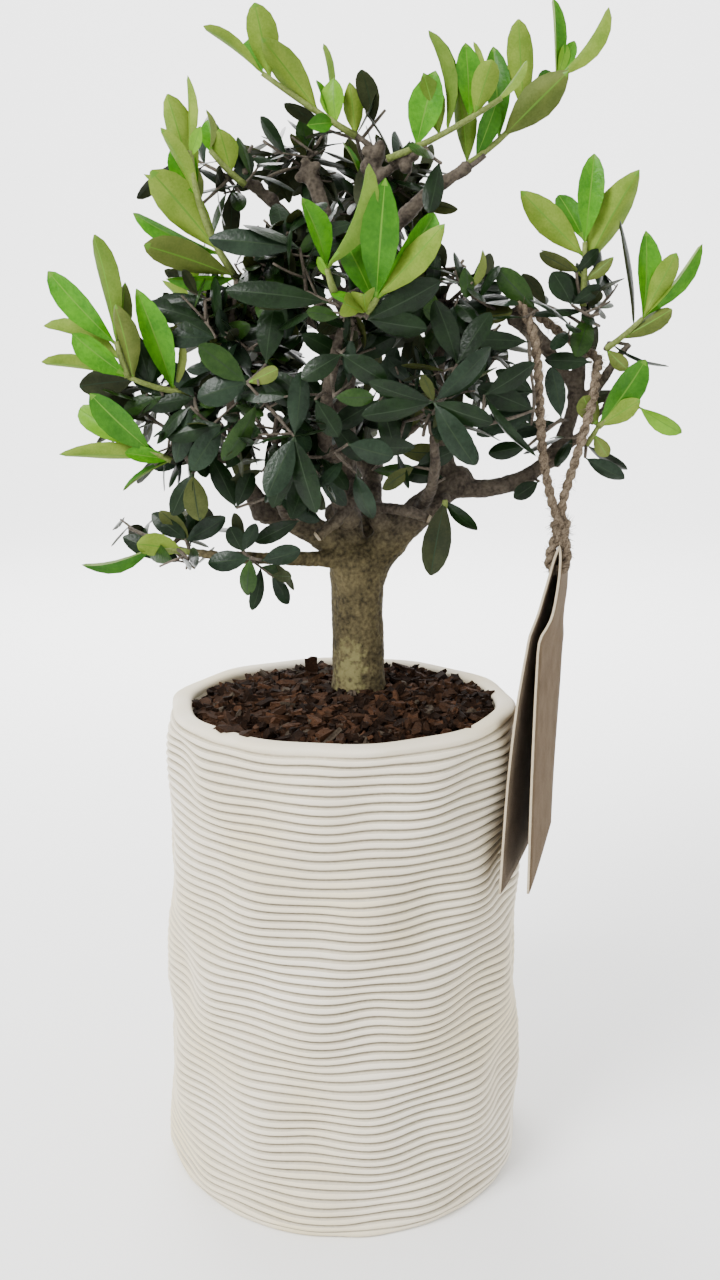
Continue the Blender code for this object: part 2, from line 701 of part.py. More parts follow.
def twig_solid(start, end, radius, tip_radius, collection):
    shape = bmesh.new()
    span = end - start
    bmesh.ops.create_cone(
        shape, cap_ends=True, segments=3, radius1=radius, radius2=tip_radius, depth=span.length)
    frame = span.to_track_quat("Z", "Y").to_matrix().to_4x4()
    frame.translation = (start + end) / 2
    bmesh.ops.transform(shape, matrix=frame, verts=shape.verts)
    return object_from_bmesh("twig", shape, collection)


def make_mass(spray, collection):
    """One Boolean union joins the stem, twigs and leaves into a single body."""
    parts = new_collection(spray.name + "_parts")
    stem = twig_solid(*spray.twigs[0], collection)
    stem.name = spray.name
    for twig in spray.twigs[1:]:
        twig_solid(*twig, parts)
    for root, along, face, length, _young in spray.leaves:
        leaf_solid(root, along, face, length, parts)
    mass = join(stem, parts, collection)
    keep_main_body(mass)
    young = sum(leaf[4] for leaf in spray.leaves)
    finish = YOUNG_LEAF if young * 2 > len(spray.leaves) else DARK_LEAF
    give_material(mass, "leaves_" + spray.name, finish)


def make_foliage(collection):
    rods = obstacle_segments()
    sites, owners = space_sites()
    for name, limb, hub, count, seed in MASSES:
        make_mass(Spray(name, limb, hub, count, seed, rods, sites, owners), collection)


def smooth_through(points, steps):
    """A Catmull-Rom curve through the points, with some steps between each two."""
    ends = [points[0] * 2 - points[1]] + points + [points[-1] * 2 - points[-2]]
    places = []
    for a, b, c, d in zip(ends, ends[1:], ends[2:], ends[3:]):
        for step in range(steps):
            t = step / steps
            places.append(0.5 * (b * 2 + (c - a) * t + (a * 2 - b * 5 + c * 4 - d) * t * t
                                 + (b * 3 - a - c * 3 + d) * t * t * t))
    places.append(points[-1])
    return places


def twine_route():
    return smooth_through([millimetres(point) for point in TWINE_ROUTE], TWINE_STEPS)


def make_twine(collection):
    """A loop over two twigs, the knot under it, and a short tail through the card's hole."""
    route = twine_route()
    twine = tube("twine", route, [TWINE_RADIUS] * len(route), TWINE_SIDES_RESOLUTION, collection)
    parts = new_collection("twine_parts")
    shape = bmesh.new()
    bmesh.ops.create_uvsphere(shape, u_segments=10, v_segments=6, radius=KNOT_RADIUS)
    bmesh.ops.translate(shape, vec=KNOT, verts=shape.verts)
    object_from_bmesh("knot", shape, parts)
    tail = tail_route()
    tube("tail", tail, [TAIL_RADIUS] * len(tail), TWINE_SIDES_RESOLUTION, parts)
    shape = bmesh.new()
    bmesh.ops.create_uvsphere(shape, u_segments=8, v_segments=5, radius=STOP_KNOT_RADIUS)
    bmesh.ops.translate(shape, vec=tail[-1], verts=shape.verts)
    object_from_bmesh("stop_knot", shape, parts)
    twine = join(twine, parts, collection)
    keep_main_body(twine)
    give_material(twine, "jute", JUTE)


def tail_route():
    """From the knot down through the fold to the small stop knot between the panels."""
    hole = card_place(0, CARD_HOLE_PLACE, 0)
    return [KNOT, hole, card_place(STOP_KNOT_DROP, CARD_HOLE_PLACE, 0.5)]


def card_flare(distance):
    """How far apart the two panels stand at a distance below the fold."""
    for (near, near_gap), (far, far_gap) in zip(CARD_FLARE, CARD_FLARE[1:]):
        if distance <= far * MM:
            share = (distance / MM - near) / (far - near)
            return (near_gap + (far_gap - near_gap) * share) * MM
    return CARD_FLARE[-1][1] * MM


def card_place(distance, inward, panel):
    """A point of the card: distance below the fold, inward from its front edge, panel 0 or 1."""
    down = Vector((0, -math.sin(CARD_TILT), -math.cos(CARD_TILT)))
    in_plane = Vector((0, math.cos(CARD_TILT), -math.sin(CARD_TILT)))
    width = Vector((math.sin(CARD_TURN), 0, 0)) + in_plane * math.cos(CARD_TURN)
    drift = CARD_BEND * (math.exp(-distance / CARD_BEND_LENGTH) - 1)
    drift -= CARD_LEAN * distance / CARD_LENGTH
    closing = 1 + (CARD_FAR_FLARE - 1) * inward / CARD_WIDTH
    drift -= card_flare(distance) * panel * closing
    return CARD_PEAK + down * distance + width * inward + Vector((drift, 0, 0))


def make_card(collection):
    """One strip of card folded over at the top, with a round hole for the twine's tail."""
    marks = [mark * MM for mark, _gap in CARD_FLARE]
    shape = bmesh.new()
    route = [(mark, 1) for mark in reversed(marks)] + [(mark, 0) for mark in marks[1:]]
    near = [shape.verts.new(card_place(mark, 0, panel)) for mark, panel in route]
    far = [shape.verts.new(card_place(mark, CARD_WIDTH, panel)) for mark, panel in route]
    for (a, b), (c, d) in zip(zip(near, near[1:]), zip(far, far[1:])):
        shape.faces.new((a, b, d, c))
    bmesh.ops.recalc_face_normals(shape, faces=shape.faces)
    bmesh.ops.triangulate(shape, faces=shape.faces)
    card = object_from_bmesh("card", shape, collection)
    thicken = card.modifiers.new("Thickness", "SOLIDIFY")
    thicken.thickness = CARD_THICKNESS
    thicken.offset = 0
    card = evaluated_copy(card, "card", collection)
    tail = tail_route()
    hole_radius = TAIL_RADIUS + CARD_HOLE_CLEARANCE
    punch = tube("punch", tail, [hole_radius] * len(tail), TWINE_SIDES_RESOLUTION, collection)
    card = cut(card, punch, collection)
    bpy.data.objects.remove(punch, do_unlink=True)
    keep_main_body(card)
    give_material(card, "kraft_card", KRAFT)


def main():
    clear_scene()
    bonsai = new_collection("olive_bonsai")
    cutters = new_collection("cutters")
    make_pot(bonsai)
    make_mulch(bonsai)
    trunk = make_trunk(bonsai)
    make_limbs(trunk, bonsai, cutters)
    make_foliage(bonsai)
    make_twine(bonsai)
    make_card(bonsai)
    bpy.data.collections.remove(cutters)


main()
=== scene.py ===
"""The finished looks of a small olive bonsai in a coil-built clay pot, with a blank card on twine.

Metres, +Z up, +X to the right and -Y towards the front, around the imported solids.
"""
import math
import random

import bmesh
import bpy
import numpy as np
from mathutils import Matrix, Vector, noise
from mathutils.geometry import intersect_point_line


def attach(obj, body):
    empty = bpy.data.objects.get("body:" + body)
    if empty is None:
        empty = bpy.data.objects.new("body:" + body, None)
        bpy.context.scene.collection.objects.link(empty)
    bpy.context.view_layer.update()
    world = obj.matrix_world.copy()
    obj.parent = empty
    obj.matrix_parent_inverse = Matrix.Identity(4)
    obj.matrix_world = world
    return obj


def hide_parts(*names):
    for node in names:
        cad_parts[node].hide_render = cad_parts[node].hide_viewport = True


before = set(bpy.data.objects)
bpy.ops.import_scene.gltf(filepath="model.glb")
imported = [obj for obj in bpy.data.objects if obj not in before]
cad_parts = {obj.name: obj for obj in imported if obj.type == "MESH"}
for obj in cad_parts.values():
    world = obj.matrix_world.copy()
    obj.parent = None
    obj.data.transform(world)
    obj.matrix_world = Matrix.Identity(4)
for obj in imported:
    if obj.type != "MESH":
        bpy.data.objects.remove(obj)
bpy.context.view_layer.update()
MM = 0.001

# The place that the picture is taken from: a little above the pot's rim, half a metre in front,
# and tipped down, with a fairly wide lens.
CAMERA_PLACE = Vector((6, -441, 292)) * MM
CAMERA_TIP = math.radians(12.97)
LENS = 36.5
SENSOR_HEIGHT = 36

lens = bpy.data.cameras.new("camera")
lens.sensor_fit = "VERTICAL"
lens.sensor_height = SENSOR_HEIGHT
lens.lens = LENS
lens.clip_start = 0.01
camera = bpy.data.objects.new("camera", lens)
camera.location = CAMERA_PLACE
camera.rotation_euler = (math.pi / 2 - CAMERA_TIP, 0, 0)
bpy.context.scene.collection.objects.link(camera)
bpy.context.scene.camera = camera

# The studio: a wide round floor of matt pale paper that curves up at its edge, under an even pale
# sky. A large soft lamp stands at the front left, a faint one at the front right and one behind
# the plant, and a fourth lights the paper behind it.
FLOOR_RADIUS = 1.6
FLOOR_SIDES = 96
FLOOR_BEND = 1.2
FLOOR_BEND_STEPS = 14
FLOOR_DROP = 0.05 * MM
PAPER = (0.9, 0.9, 0.9)
PAPER_ROUGHNESS = 0.9
SKY_STRENGTH = 1.7
SURFACE_SHEEN = 0.22

# Each lamp's name, its place, the point that it faces, its width and its power in watts.
LAMPS = (
    ("key_lamp", (-0.8, -0.85, 1.2), (0, 0, 0.2), 0.7, 38),
    ("fill_lamp", (0.95, -0.8, 0.7), (0, 0, 0.2), 0.9, 1),
    ("back_lamp", (-0.25, 0.85, 1.0), (0, 0, 0.25), 0.8, 14),
    ("wall_lamp", (0, 0.8, 1.5), (0, 2.7, 0.4), 1.2, 90),
)


def link(piece):
    bpy.context.scene.collection.objects.link(piece)
    return piece


def mesh_from(name, shape):
    """The mesh of a finished bmesh, which is freed."""
    mesh = bpy.data.meshes.new(name)
    shape.to_mesh(mesh)
    shape.free()
    return mesh


def object_from(name, shape, smooth_angle):
    """A mesh object of a bmesh, shaded smooth up to an angle in degrees."""
    mesh = mesh_from(name, shape)
    mesh.shade_smooth()
    mesh.set_sharp_from_angle(angle=math.radians(smooth_angle))
    return link(bpy.data.objects.new(name, mesh))


def new_material(name, colour, roughness, sheen=SURFACE_SHEEN):
    """A material with a plain Principled shader, its node tree and that shader."""
    material = bpy.data.materials.new(name)
    material.use_nodes = True
    shader = material.node_tree.nodes["Principled BSDF"]
    shader.inputs["Base Color"].default_value = (*colour, 1)
    shader.inputs["Roughness"].default_value = roughness
    shader.inputs["Specular IOR Level"].default_value = sheen
    material.diffuse_color = (*colour, 1)
    return material, material.node_tree, shader


def paper_floor():
    shape = bmesh.new()
    bmesh.ops.create_circle(shape, cap_ends=True, segments=FLOOR_SIDES, radius=FLOOR_RADIUS)
    for step in range(FLOOR_BEND_STEPS):
        edge = [edge for edge in shape.edges if edge.is_boundary]
        grown = bmesh.ops.extrude_edge_only(shape, edges=edge)["geom"]
        ring = [item for item in grown if isinstance(item, bmesh.types.BMVert)]
        turn = math.pi / 2 * (step + 1) / FLOOR_BEND_STEPS
        radius = FLOOR_RADIUS + FLOOR_BEND * math.sin(turn)
        for vertex in ring:
            flat = Vector((vertex.co.x, vertex.co.y, 0)).normalized() * radius
            vertex.co = (flat.x, flat.y, FLOOR_BEND * (1 - math.cos(turn)))
    bmesh.ops.translate(shape, vec=(0, 0, -FLOOR_DROP), verts=shape.verts)
    return object_from("floor", shape, 60)


def soft_lamp(name, place, target, size, power):
    light = bpy.data.lights.new(name, "AREA")
    light.shape = "DISK"
    light.size = size
    light.energy = power
    lamp = link(bpy.data.objects.new(name, light))
    lamp.location = place
    lamp.rotation_euler = (Vector(target) - Vector(place)).to_track_quat("-Z", "Y").to_euler()


floor = paper_floor()
floor.data.materials.append(new_material("paper", PAPER, PAPER_ROUGHNESS)[0])
for lamp_name, place, target, size, power in LAMPS:
    soft_lamp(lamp_name, place, target, size, power)
sky = bpy.data.worlds.new("sky")
sky.use_nodes = True
sky.node_tree.nodes["Background"].inputs["Color"].default_value = (*PAPER, 1)
sky.node_tree.nodes["Background"].inputs["Strength"].default_value = SKY_STRENGTH
bpy.context.scene.world = sky

# The pot: rolled coils of off-white clay stacked by hand and left unsmoothed outside, so that the
# wall keeps its grooves, pressed in and out into ten rows of shallow lobes, under a thick rim.
POT_HEIGHT = 170 * MM
RIM_RADIUS = 60 * MM
BASE_RADIUS = 64.5 * MM
RIM_COIL = 3.6 * MM
FOOT_ROUND = 2.4 * MM
BORE_RADIUS = 53.2 * MM
POT_FLOOR = 9 * MM
POT_SIDES = 180
LOBES = 10
LOBE_ANGLE = math.radians(27.5)
LOBE_PERIOD = 75 * MM
LOBE_LEVEL = 152 * MM
LOBE_DEPTH = 1.7 * MM
LOBE_FADES = (12 * MM, 9 * MM)
RIM_CORNERS = 1.0 * MM
CORNER_FADE = 11 * MM
SLOW_DENTS = 0.45 * MM
QUICK_DENTS = 0.25 * MM
FOOT_DENTS = 1.6
FOOT_DENTS_UP_TO = 14 * MM
COIL_WANDER = 1.1 * MM
WANDER_FADES = (5 * MM, 7 * MM)
COILS = 54
COIL_ROWS = (0, 0.1, 0.24, 0.5, 0.76, 0.9)
COIL_BULGE = 1.55 * MM
INNER_COILS = 4
INNER_BULGE = 0.6
RIM_STEPS = 12
RIM_SQUARENESS = (0.7, 0.55)
SEAM_ANGLE = math.radians(-43)
SEAM_LEVEL = POT_HEIGHT - 2.7 * MM
SEAM_DEPTH = 0.75 * MM
SEAM_HALF_WIDTH = 0.55 * MM
SEAM_FAR_END = math.radians(-150)
SEAM_FADES = (math.radians(9), math.radians(30))
SMEAR_DEPTH = 0.35 * MM
SMEAR_WIDTH = math.radians(4)
SMEAR_HEIGHT = 1.6 * MM
CLAY = (0.71, 0.635, 0.485)
CLAY_PALE = (0.77, 0.71, 0.59)
CLAY_WARM = (0.70, 0.605, 0.395)
CLAY_ROUGHNESS = 0.72
CLAY_CLOUDS = 22
CLAY_SAND = 2600
SAND_RELIEF = 0.12 * MM
# Dust and painted shade in the outer grooves: the darker tone in their bottoms, the lighter one up
# their sides.
GROOVE_DUST_AND_SHADE = ((0.32, 0.285, 0.21), (0.42, 0.375, 0.285))
GROOVE_SIDE_DUST_AND_SHADE = ((0.47, 0.42, 0.32), (0.56, 0.50, 0.39))


def spun(profile, sides):
    """The closed turned shape of a profile of (radius, level) that starts and ends on the axis."""
    shape = bmesh.new()
    ring = [shape.verts.new((radius, 0, level)) for radius, level in profile]
    edges = [shape.edges.new(pair) for pair in zip(ring, ring[1:])]
    bmesh.ops.spin(
        shape, geom=ring + edges, axis=(0, 0, 1), cent=(0, 0, 0),
        angle=2 * math.pi, steps=sides, use_merge=True)
    bmesh.ops.remove_doubles(shape, verts=shape.verts, dist=0.001 * MM)
    bmesh.ops.recalc_face_normals(shape, faces=shape.faces)
    return shape


def pot_wall(level):
    return BASE_RADIUS + (RIM_RADIUS - BASE_RADIUS) * level / POT_HEIGHT


def coil_bulge(share):
    """How far a coil stands out of the wall's line, from one groove (0) to the next (1)."""
    return COIL_BULGE * (math.sin(math.pi * share) ** 0.8 - 0.85)


TOP_GROOVE = POT_HEIGHT - RIM_COIL
COIL_PITCH = (TOP_GROOVE - FOOT_ROUND) / COILS


def coil_rows(count):
    """The levels of a number of coils from the top groove down, and their bulge there."""
    for coil in range(count):
        for share in COIL_ROWS:
            yield TOP_GROOVE - COIL_PITCH * (coil + share), coil_bulge(share)


def pot_profile():
    """From the middle of the inner floor up the bore, over the rim and down to the foot."""
    inside = [(BORE_RADIUS - bulge * INNER_BULGE, level) for level, bulge in coil_rows(INNER_COILS)]
    points = [(0, POT_FLOOR), (BORE_RADIUS, POT_FLOOR), (BORE_RADIUS, inside[-1][1] - COIL_PITCH)]
    points += reversed(inside)
    middle = (BORE_RADIUS + RIM_RADIUS) / 2
    half = (RIM_RADIUS - BORE_RADIUS) / 2 * 1.04
    for step in range(1, RIM_STEPS):
        turn = math.pi * step / RIM_STEPS
        flat = math.copysign(abs(math.cos(turn)) ** RIM_SQUARENESS[0], math.cos(turn))
        height = math.sin(turn) ** RIM_SQUARENESS[1]
        points.append((middle - half * flat, POT_HEIGHT - RIM_COIL * (1 - height)))
    points += [(pot_wall(level) + bulge, level) for level, bulge in coil_rows(COILS)]
    points += [(BASE_RADIUS - 0.5 * MM, FOOT_ROUND), (BASE_RADIUS - 0.9 * MM, 0.8 * MM)]
    return points + [(BASE_RADIUS - FOOT_ROUND, 0), (0, 0)]


def painted_groove_shading(shape):
    """Paints dust and shade into the outer grooves: the second material in their bottoms, the third
    up their sides.
    """
    for face in shape.faces:
        middle = face.calc_center_median()
        outside = math.hypot(middle.x, middle.y) > (BORE_RADIUS + RIM_RADIUS) / 2
        share = (TOP_GROOVE - middle.z) / COIL_PITCH % 1
        if outside and FOOT_ROUND < middle.z < TOP_GROOVE + COIL_PITCH / 4:
            if share < COIL_ROWS[1] or share > COIL_ROWS[-1]:
                face.material_index = 1
            elif share < COIL_ROWS[2] or share > COIL_ROWS[-2]:
                face.material_index = 2


def faded(level, fades):
    """Grows from 0 at the foot and at the rim to 1 past the two heights of the fades."""
    return max(0, min(1, level / fades[0], (POT_HEIGHT - level) / fades[1]))


def pot_wave(angle, level):
    """How far the lobed wall stands out at an angle from the front and a level."""
    around = math.cos(LOBES * (angle - LOBE_ANGLE))
    along = math.cos(2 * math.pi * (level - LOBE_LEVEL) / LOBE_PERIOD)
    corners = max(0, 1 - (POT_HEIGHT - level) / CORNER_FADE)
    return LOBE_DEPTH * around * along * faded(level, LOBE_FADES) - RIM_CORNERS * around * corners


def pushed_out(vertex, distance):
    """Moves a point of the pot away from its axis."""
    radius = math.hypot(vertex.co.x, vertex.co.y)
    vertex.co.x *= 1 + distance / radius
    vertex.co.y *= 1 + distance / radius


def pressed_by_hand(shape):
    """Moves the pot's points: lobes, rim corners, and coils that wander a little every way."""
    for vertex in shape.verts:
        x, y, level = vertex.co
        radius = math.hypot(x, y)
        if radius < BORE_RADIUS - 3 * MM or level < POT_FLOOR and radius < BASE_RADIUS - 4 * MM:
            continue
        angle = math.atan2(x, -y)
        ring = Vector((math.sin(angle), -math.cos(angle), 0))
        outer = min(1, max(0, (radius - BORE_RADIUS) / (RIM_RADIUS - BORE_RADIUS)))
        slow = noise.noise(ring * 2.1 + Vector((3, 5, level / (14 * MM))))
        quick = noise.noise(ring * 5.5 + Vector((9, 1, level / (2.4 * MM))))
        near_foot = max(0, 1 - level / FOOT_DENTS_UP_TO)
        out = pot_wave(angle, level) * (0.5 + 0.5 * outer)
        out += (QUICK_DENTS * quick + SLOW_DENTS * slow) * outer * (1 + FOOT_DENTS * near_foot)
        lift = noise.noise(ring * 3.2 + Vector((0, 7, level / (16 * MM))))
        pushed_out(vertex, out)
        vertex.co.z += lift * COIL_WANDER * faded(level, WANDER_FADES) * outer


def coil_end(shape):
    """The last coil's end, pressed into the rim at the front left: its groove runs out there."""
    for vertex in shape.verts:
        x, y, level = vertex.co
        angle = math.atan2(x, -y)
        if math.hypot(x, y) < RIM_RADIUS - 3 * MM or level < POT_HEIGHT - 9 * MM:
            continue
        before = min(1, max(0, (SEAM_ANGLE - angle) / SEAM_FADES[0]))
        before *= min(1, max(0, (angle - SEAM_FAR_END) / SEAM_FADES[1]))
        depth = math.exp(-((level - SEAM_LEVEL) / SEAM_HALF_WIDTH) ** 2) * SEAM_DEPTH * before
        smear = math.exp(-((angle - SEAM_ANGLE) / SMEAR_WIDTH) ** 2)
        depth -= smear * SMEAR_DEPTH * math.exp(-((level - SEAM_LEVEL) / SMEAR_HEIGHT) ** 2)
        pushed_out(vertex, -depth)


def plug(tree, socket, value):
    """Links a socket to an input, or sets the input to a value."""
    if isinstance(value, bpy.types.NodeSocket):
        tree.links.new(value, socket)
    else:
        socket.default_value = value


def wired(tree, kind, **inputs):
    """A new node of a kind, with its named inputs set to values or linked to sockets."""
    node = tree.nodes.new(kind)
    for name, value in inputs.items():
        plug(tree, node.inputs[name.replace("_", " ")], value)
    return node


def blended(tree, factor, first, second):
    """The colour between two colours or sockets."""
    mix = tree.nodes.new("ShaderNodeMix")
    mix.data_type = "RGBA"
    for name, value in (("Factor", factor), ("A", first), ("B", second)):
        plug(tree, mix.inputs[name], value)
    return mix.outputs["Result"]


def mottle_group():
    """Node group: two colours mingled in soft blotches and a fine grain, and the grain's height."""
    tree = bpy.data.node_groups.new("mottle", "ShaderNodeTree")
    for name, kind in (("Dark", "Color"), ("Light", "Color"), ("Blotches", "Float"),
                       ("Grains", "Float"), ("Grain share", "Float")):
        tree.interface.new_socket(name, in_out="INPUT", socket_type="NodeSocket" + kind)
    tree.interface.new_socket("Color", in_out="OUTPUT", socket_type="NodeSocketColor")
    tree.interface.new_socket("Height", in_out="OUTPUT", socket_type="NodeSocketFloat")
    given = tree.nodes.new("NodeGroupInput").outputs
    place = tree.nodes.new("ShaderNodeTexCoord").outputs["Object"]
    blotches = wired(tree, "ShaderNodeTexNoise", Vector=place, Scale=given["Blotches"], Detail=3.0)
    grains = wired(tree, "ShaderNodeTexNoise", Vector=place, Scale=given["Grains"], Detail=2.0)
    share = wired(tree, "ShaderNodeMix", Factor=given["Grain share"], A=blotches.outputs["Fac"],
                  B=grains.outputs["Fac"])
    spread = wired(tree, "ShaderNodeMapRange", Value=share.outputs["Result"], From_Min=0.36,
                   From_Max=0.64)
    out = tree.nodes.new("NodeGroupOutput").inputs
    tree.links.new(
        blended(tree, spread.outputs["Result"], given["Dark"], given["Light"]), out["Color"])
    tree.links.new(grains.outputs["Fac"], out["Height"])
    return tree


MOTTLE = mottle_group()


def mottled(tree, tones, blotches, grains, grain_share):
    """The mottle group in a material's tree. Blotches and grains are in features to the metre."""
    node = tree.nodes.new("ShaderNodeGroup")
    node.node_tree = MOTTLE
    for name, value in (("Dark", (*tones[0], 1)), ("Light", (*tones[1], 1)), ("Blotches", blotches),
                        ("Grains", grains), ("Grain share", grain_share)):
        node.inputs[name].default_value = value
    return node


def raised(tree, shader, height, relief):
    """Gives a shader the relief, in metres, of a height."""
    bump = wired(tree, "ShaderNodeBump", Height=height, Distance=relief)
    tree.links.new(bump.outputs["Normal"], shader.inputs["Normal"])


def mottled_material(name, tones, roughness, blotches, grains, grain_share, relief=0,
                     sheen=SURFACE_SHEEN):
    """A finish in a dark and a light tone."""
    middle = [(dark + light) / 2 for dark, light in zip(*tones)]
    material, tree, shader = new_material(name, middle, roughness, sheen)
    mottle = mottled(tree, tones, blotches, grains, grain_share)
    tree.links.new(mottle.outputs["Color"], shader.inputs["Base Color"])
    if relief:
        raised(tree, shader, mottle.outputs["Height"], relief)
    return material


def clay_material():
    """Pale clay with warmer and paler clouds and a fine sandy grain."""
    material, tree, shader = new_material("clay", CLAY, CLAY_ROUGHNESS)
    place = tree.nodes.new("ShaderNodeTexCoord").outputs["Object"]
    clouds = wired(tree, "ShaderNodeTexNoise", Vector=place, Scale=CLAY_CLOUDS, Detail=3.0)
    ramp = tree.nodes.new("ShaderNodeValToRGB")
    tree.links.new(clouds.outputs["Fac"], ramp.inputs["Fac"])
    stops = ramp.color_ramp.elements
    stops[0].position, stops[0].color = 0.3, (*CLAY_WARM, 1)
    stops[1].position, stops[1].color = 0.7, (*CLAY_PALE, 1)
    stops.new(0.5).color = (*CLAY, 1)
    sand = wired(tree, "ShaderNodeTexNoise", Vector=place, Scale=CLAY_SAND, Detail=2.0)
    tree.links.new(ramp.outputs["Color"], shader.inputs["Base Color"])
    raised(tree, shader, sand.outputs["Fac"], SAND_RELIEF)
    return material


def dress(piece, materials, slot, *nodes):
    """Gives a finished piece its materials and body, and hides the solids it stands for. The slot
    is not used.
    """
    for material in materials:
        piece.data.materials.append(material)
    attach(piece, "root")
    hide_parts(*nodes)


pot_shape = spun(pot_profile(), POT_SIDES)
painted_groove_shading(pot_shape)
pressed_by_hand(pot_shape)
coil_end(pot_shape)
# The pot's second and third materials paint dust and shade into its grooves.
shaded_groove_tones = (("groove_dust_and_shade", GROOVE_DUST_AND_SHADE), ("groove_side_dust_and_shade", GROOVE_SIDE_DUST_AND_SHADE))
dress(object_from("pot_coils", pot_shape, 70), [clay_material()] + [
    mottled_material(layer, tones, roughness=0.85, blotches=30, grains=900, grain_share=0.5)
    for layer, tones in shaded_groove_tones], "clay", "pot")

# The mulch: damp chips of dark reddish bark, heaped round the trunk on a bed of the same in crumbs.
MULCH_EDGE = 52.6 * MM
MULCH_RIM_LEVEL = 166.6 * MM
MULCH_SLOPE = 2.4 * MM
SLOPE_TO_BACK = 0.85
SLOPE_TO_LEFT = 0.5
MULCH_TOP_LEVEL = 171.8 * MM
MULCH_FLAT_RADIUS = 13 * MM
MULCH_FALL = ((0, 0), (0.45, 0.12), (0.7, 0.38), (0.88, 0.72), (1, 1))
MULCH_BOTTOM = 9.4 * MM
BED_SINK = 1.6 * MM
BED_RINGS = 60
BED_SIDES = 120
CRUMB_HEIGHT = 0.8 * MM
CRUMB_TONES = ((0.003, 0.0015, 0.001), (0.013, 0.0058, 0.0038))
TRUNK_FOOT = Vector((5.5, 6, 171.4)) * MM
TRUNK_RADIUS = 9.2 * MM
CHIP_COUNT = 2500
CHIP_KINDS = 9
DAMP_SHEEN = 0.06

# The ranges of a chip's length, width and thickness in millimetres, of its depth in the heap, and
# its lean in radians.
SMALL_CHIP = ((1.6, 4), (1.2, 2.6), (0.8, 1.6))
LONG_CHIP = ((3.2, 8.5), (1.6, 4), (1, 2.6))
SMALL_SHARE = 0.55
CHIP_DEPTH = (-1.8, 1.1)
FLAT_LEAN = 0.35
STEEP_LEAN = 0.9
STEEP_SHARE = 0.3

# The chips that stand out: place, turn, two leans, length and width.
STANDING_CHIPS = (
    ((-12, 24, 174.5), 1.45, (1.35, 0.1), 8, 5.2),
    ((23, 30, 172.6), 0.9, (0.35, 0.3), 9, 6),
    ((-35, -40.5, 169.8), 0.6, (0.15, 0.35), 8, 5),
    ((-31, -44, 169.6), 2.2, (0.2, -0.3), 7, 4),
    ((-38, -37, 169.4), 1.2, (0.3, 0.2), 7, 5),
    ((39, -34, 169.6), 1.9, (0.2, 0.3), 8, 5),
    ((45, -25, 169.4), 1.0, (0.3, 0.2), 7, 4),
)
STANDING_THICKNESS = 1.5 * MM

# Each colour of chip: its share, and its dark and light tone.
CHIP_COLOURS = (
    ("chips_dark", 6, (0.005, 0.0027, 0.0016), (0.015, 0.0075, 0.0042)),
    ("chips_brown", 6, (0.014, 0.007, 0.0037), (0.033, 0.0160, 0.0085)),
    ("chips_red", 3, (0.026, 0.012, 0.0060), (0.058, 0.027, 0.0140)),
    ("chips_grey", 1, (0.027, 0.020, 0.014), (0.062, 0.048, 0.034)),
)


def mulch_level(x, y):
    """The mound's height: flat at the trunk and lowest at the pot's wall, above all at the back."""
    lean = max(0, 1 - math.hypot(x, y) / MULCH_EDGE)
    radius = math.hypot(x - TRUNK_FOOT.x * lean, y - TRUNK_FOOT.y * lean)
    share = max(0, (radius - MULCH_FLAT_RADIUS) / (MULCH_EDGE - MULCH_FLAT_RADIUS))
    down = y * SLOPE_TO_BACK - x * SLOPE_TO_LEFT
    edge_level = MULCH_RIM_LEVEL - MULCH_SLOPE * down / MULCH_EDGE
    for (near, fall), (far, far_fall) in zip(MULCH_FALL, MULCH_FALL[1:]):
        if share <= far:
            fall += (far_fall - fall) * (share - near) / (far - near)
            return MULCH_TOP_LEVEL + (edge_level - MULCH_TOP_LEVEL) * fall
    return edge_level


def soil_bed():
    """The fine crumbs under the chips: a turned body whose top follows the mound."""
    profile = [(MULCH_EDGE * ring / BED_RINGS, MULCH_RIM_LEVEL) for ring in range(BED_RINGS + 1)]
    shape = spun([(0, MULCH_BOTTOM), (MULCH_EDGE, MULCH_BOTTOM)] + profile[::-1], BED_SIDES)
    for vertex in shape.verts:
        x, y, level = vertex.co
        if level > MULCH_BOTTOM + MM:
            crumb = noise.fractal(Vector((x, y, 0)) * 350, 0.7, 2.0, 3)
            vertex.co.z = mulch_level(x, y) - BED_SINK + crumb * CRUMB_HEIGHT
    return object_from("soil_bed", shape, 50)


def chip_template(rng):
    """A splinter of bark about one unit long, with torn ends and uneven faces."""
    shape = bmesh.new()
    bmesh.ops.create_cube(shape, size=1)
    bmesh.ops.subdivide_edges(shape, edges=shape.edges[:], cuts=1, use_grid_fill=True)
    slant = rng.uniform(-0.3, 0.3)
    for vertex in shape.verts:
        vertex.co.x += vertex.co.y * slant + rng.uniform(-0.13, 0.13)
        vertex.co.y *= 1 - 0.5 * abs(vertex.co.x)
        vertex.co.y += rng.uniform(-0.12, 0.12)
        vertex.co.z += rng.uniform(-0.22, 0.22)
    return mesh_from("chip", shape)


def add_copies(shape, copies):
    """Adds placed copies of small meshes, given as (mesh, matrix) pairs, to a bmesh."""
    for template, matrix in copies:
        mesh = template.copy()
        mesh.transform(matrix)
        shape.from_mesh(mesh)
        bpy.data.meshes.remove(mesh)
    return shape


def chip_matrix(place, turn, tilt, length, width, thickness):
    """Where a chip of one unit goes: its size, two leans, its turn and its place, in that order."""
    spin = Matrix.Rotation(turn, 4, "Z") @ Matrix.Rotation(tilt[0], 4, "Y")
    spin = spin @ Matrix.Rotation(tilt[1], 4, "X")
    return Matrix.Translation(place) @ spin @ Matrix.Diagonal((length, width, thickness, 1))


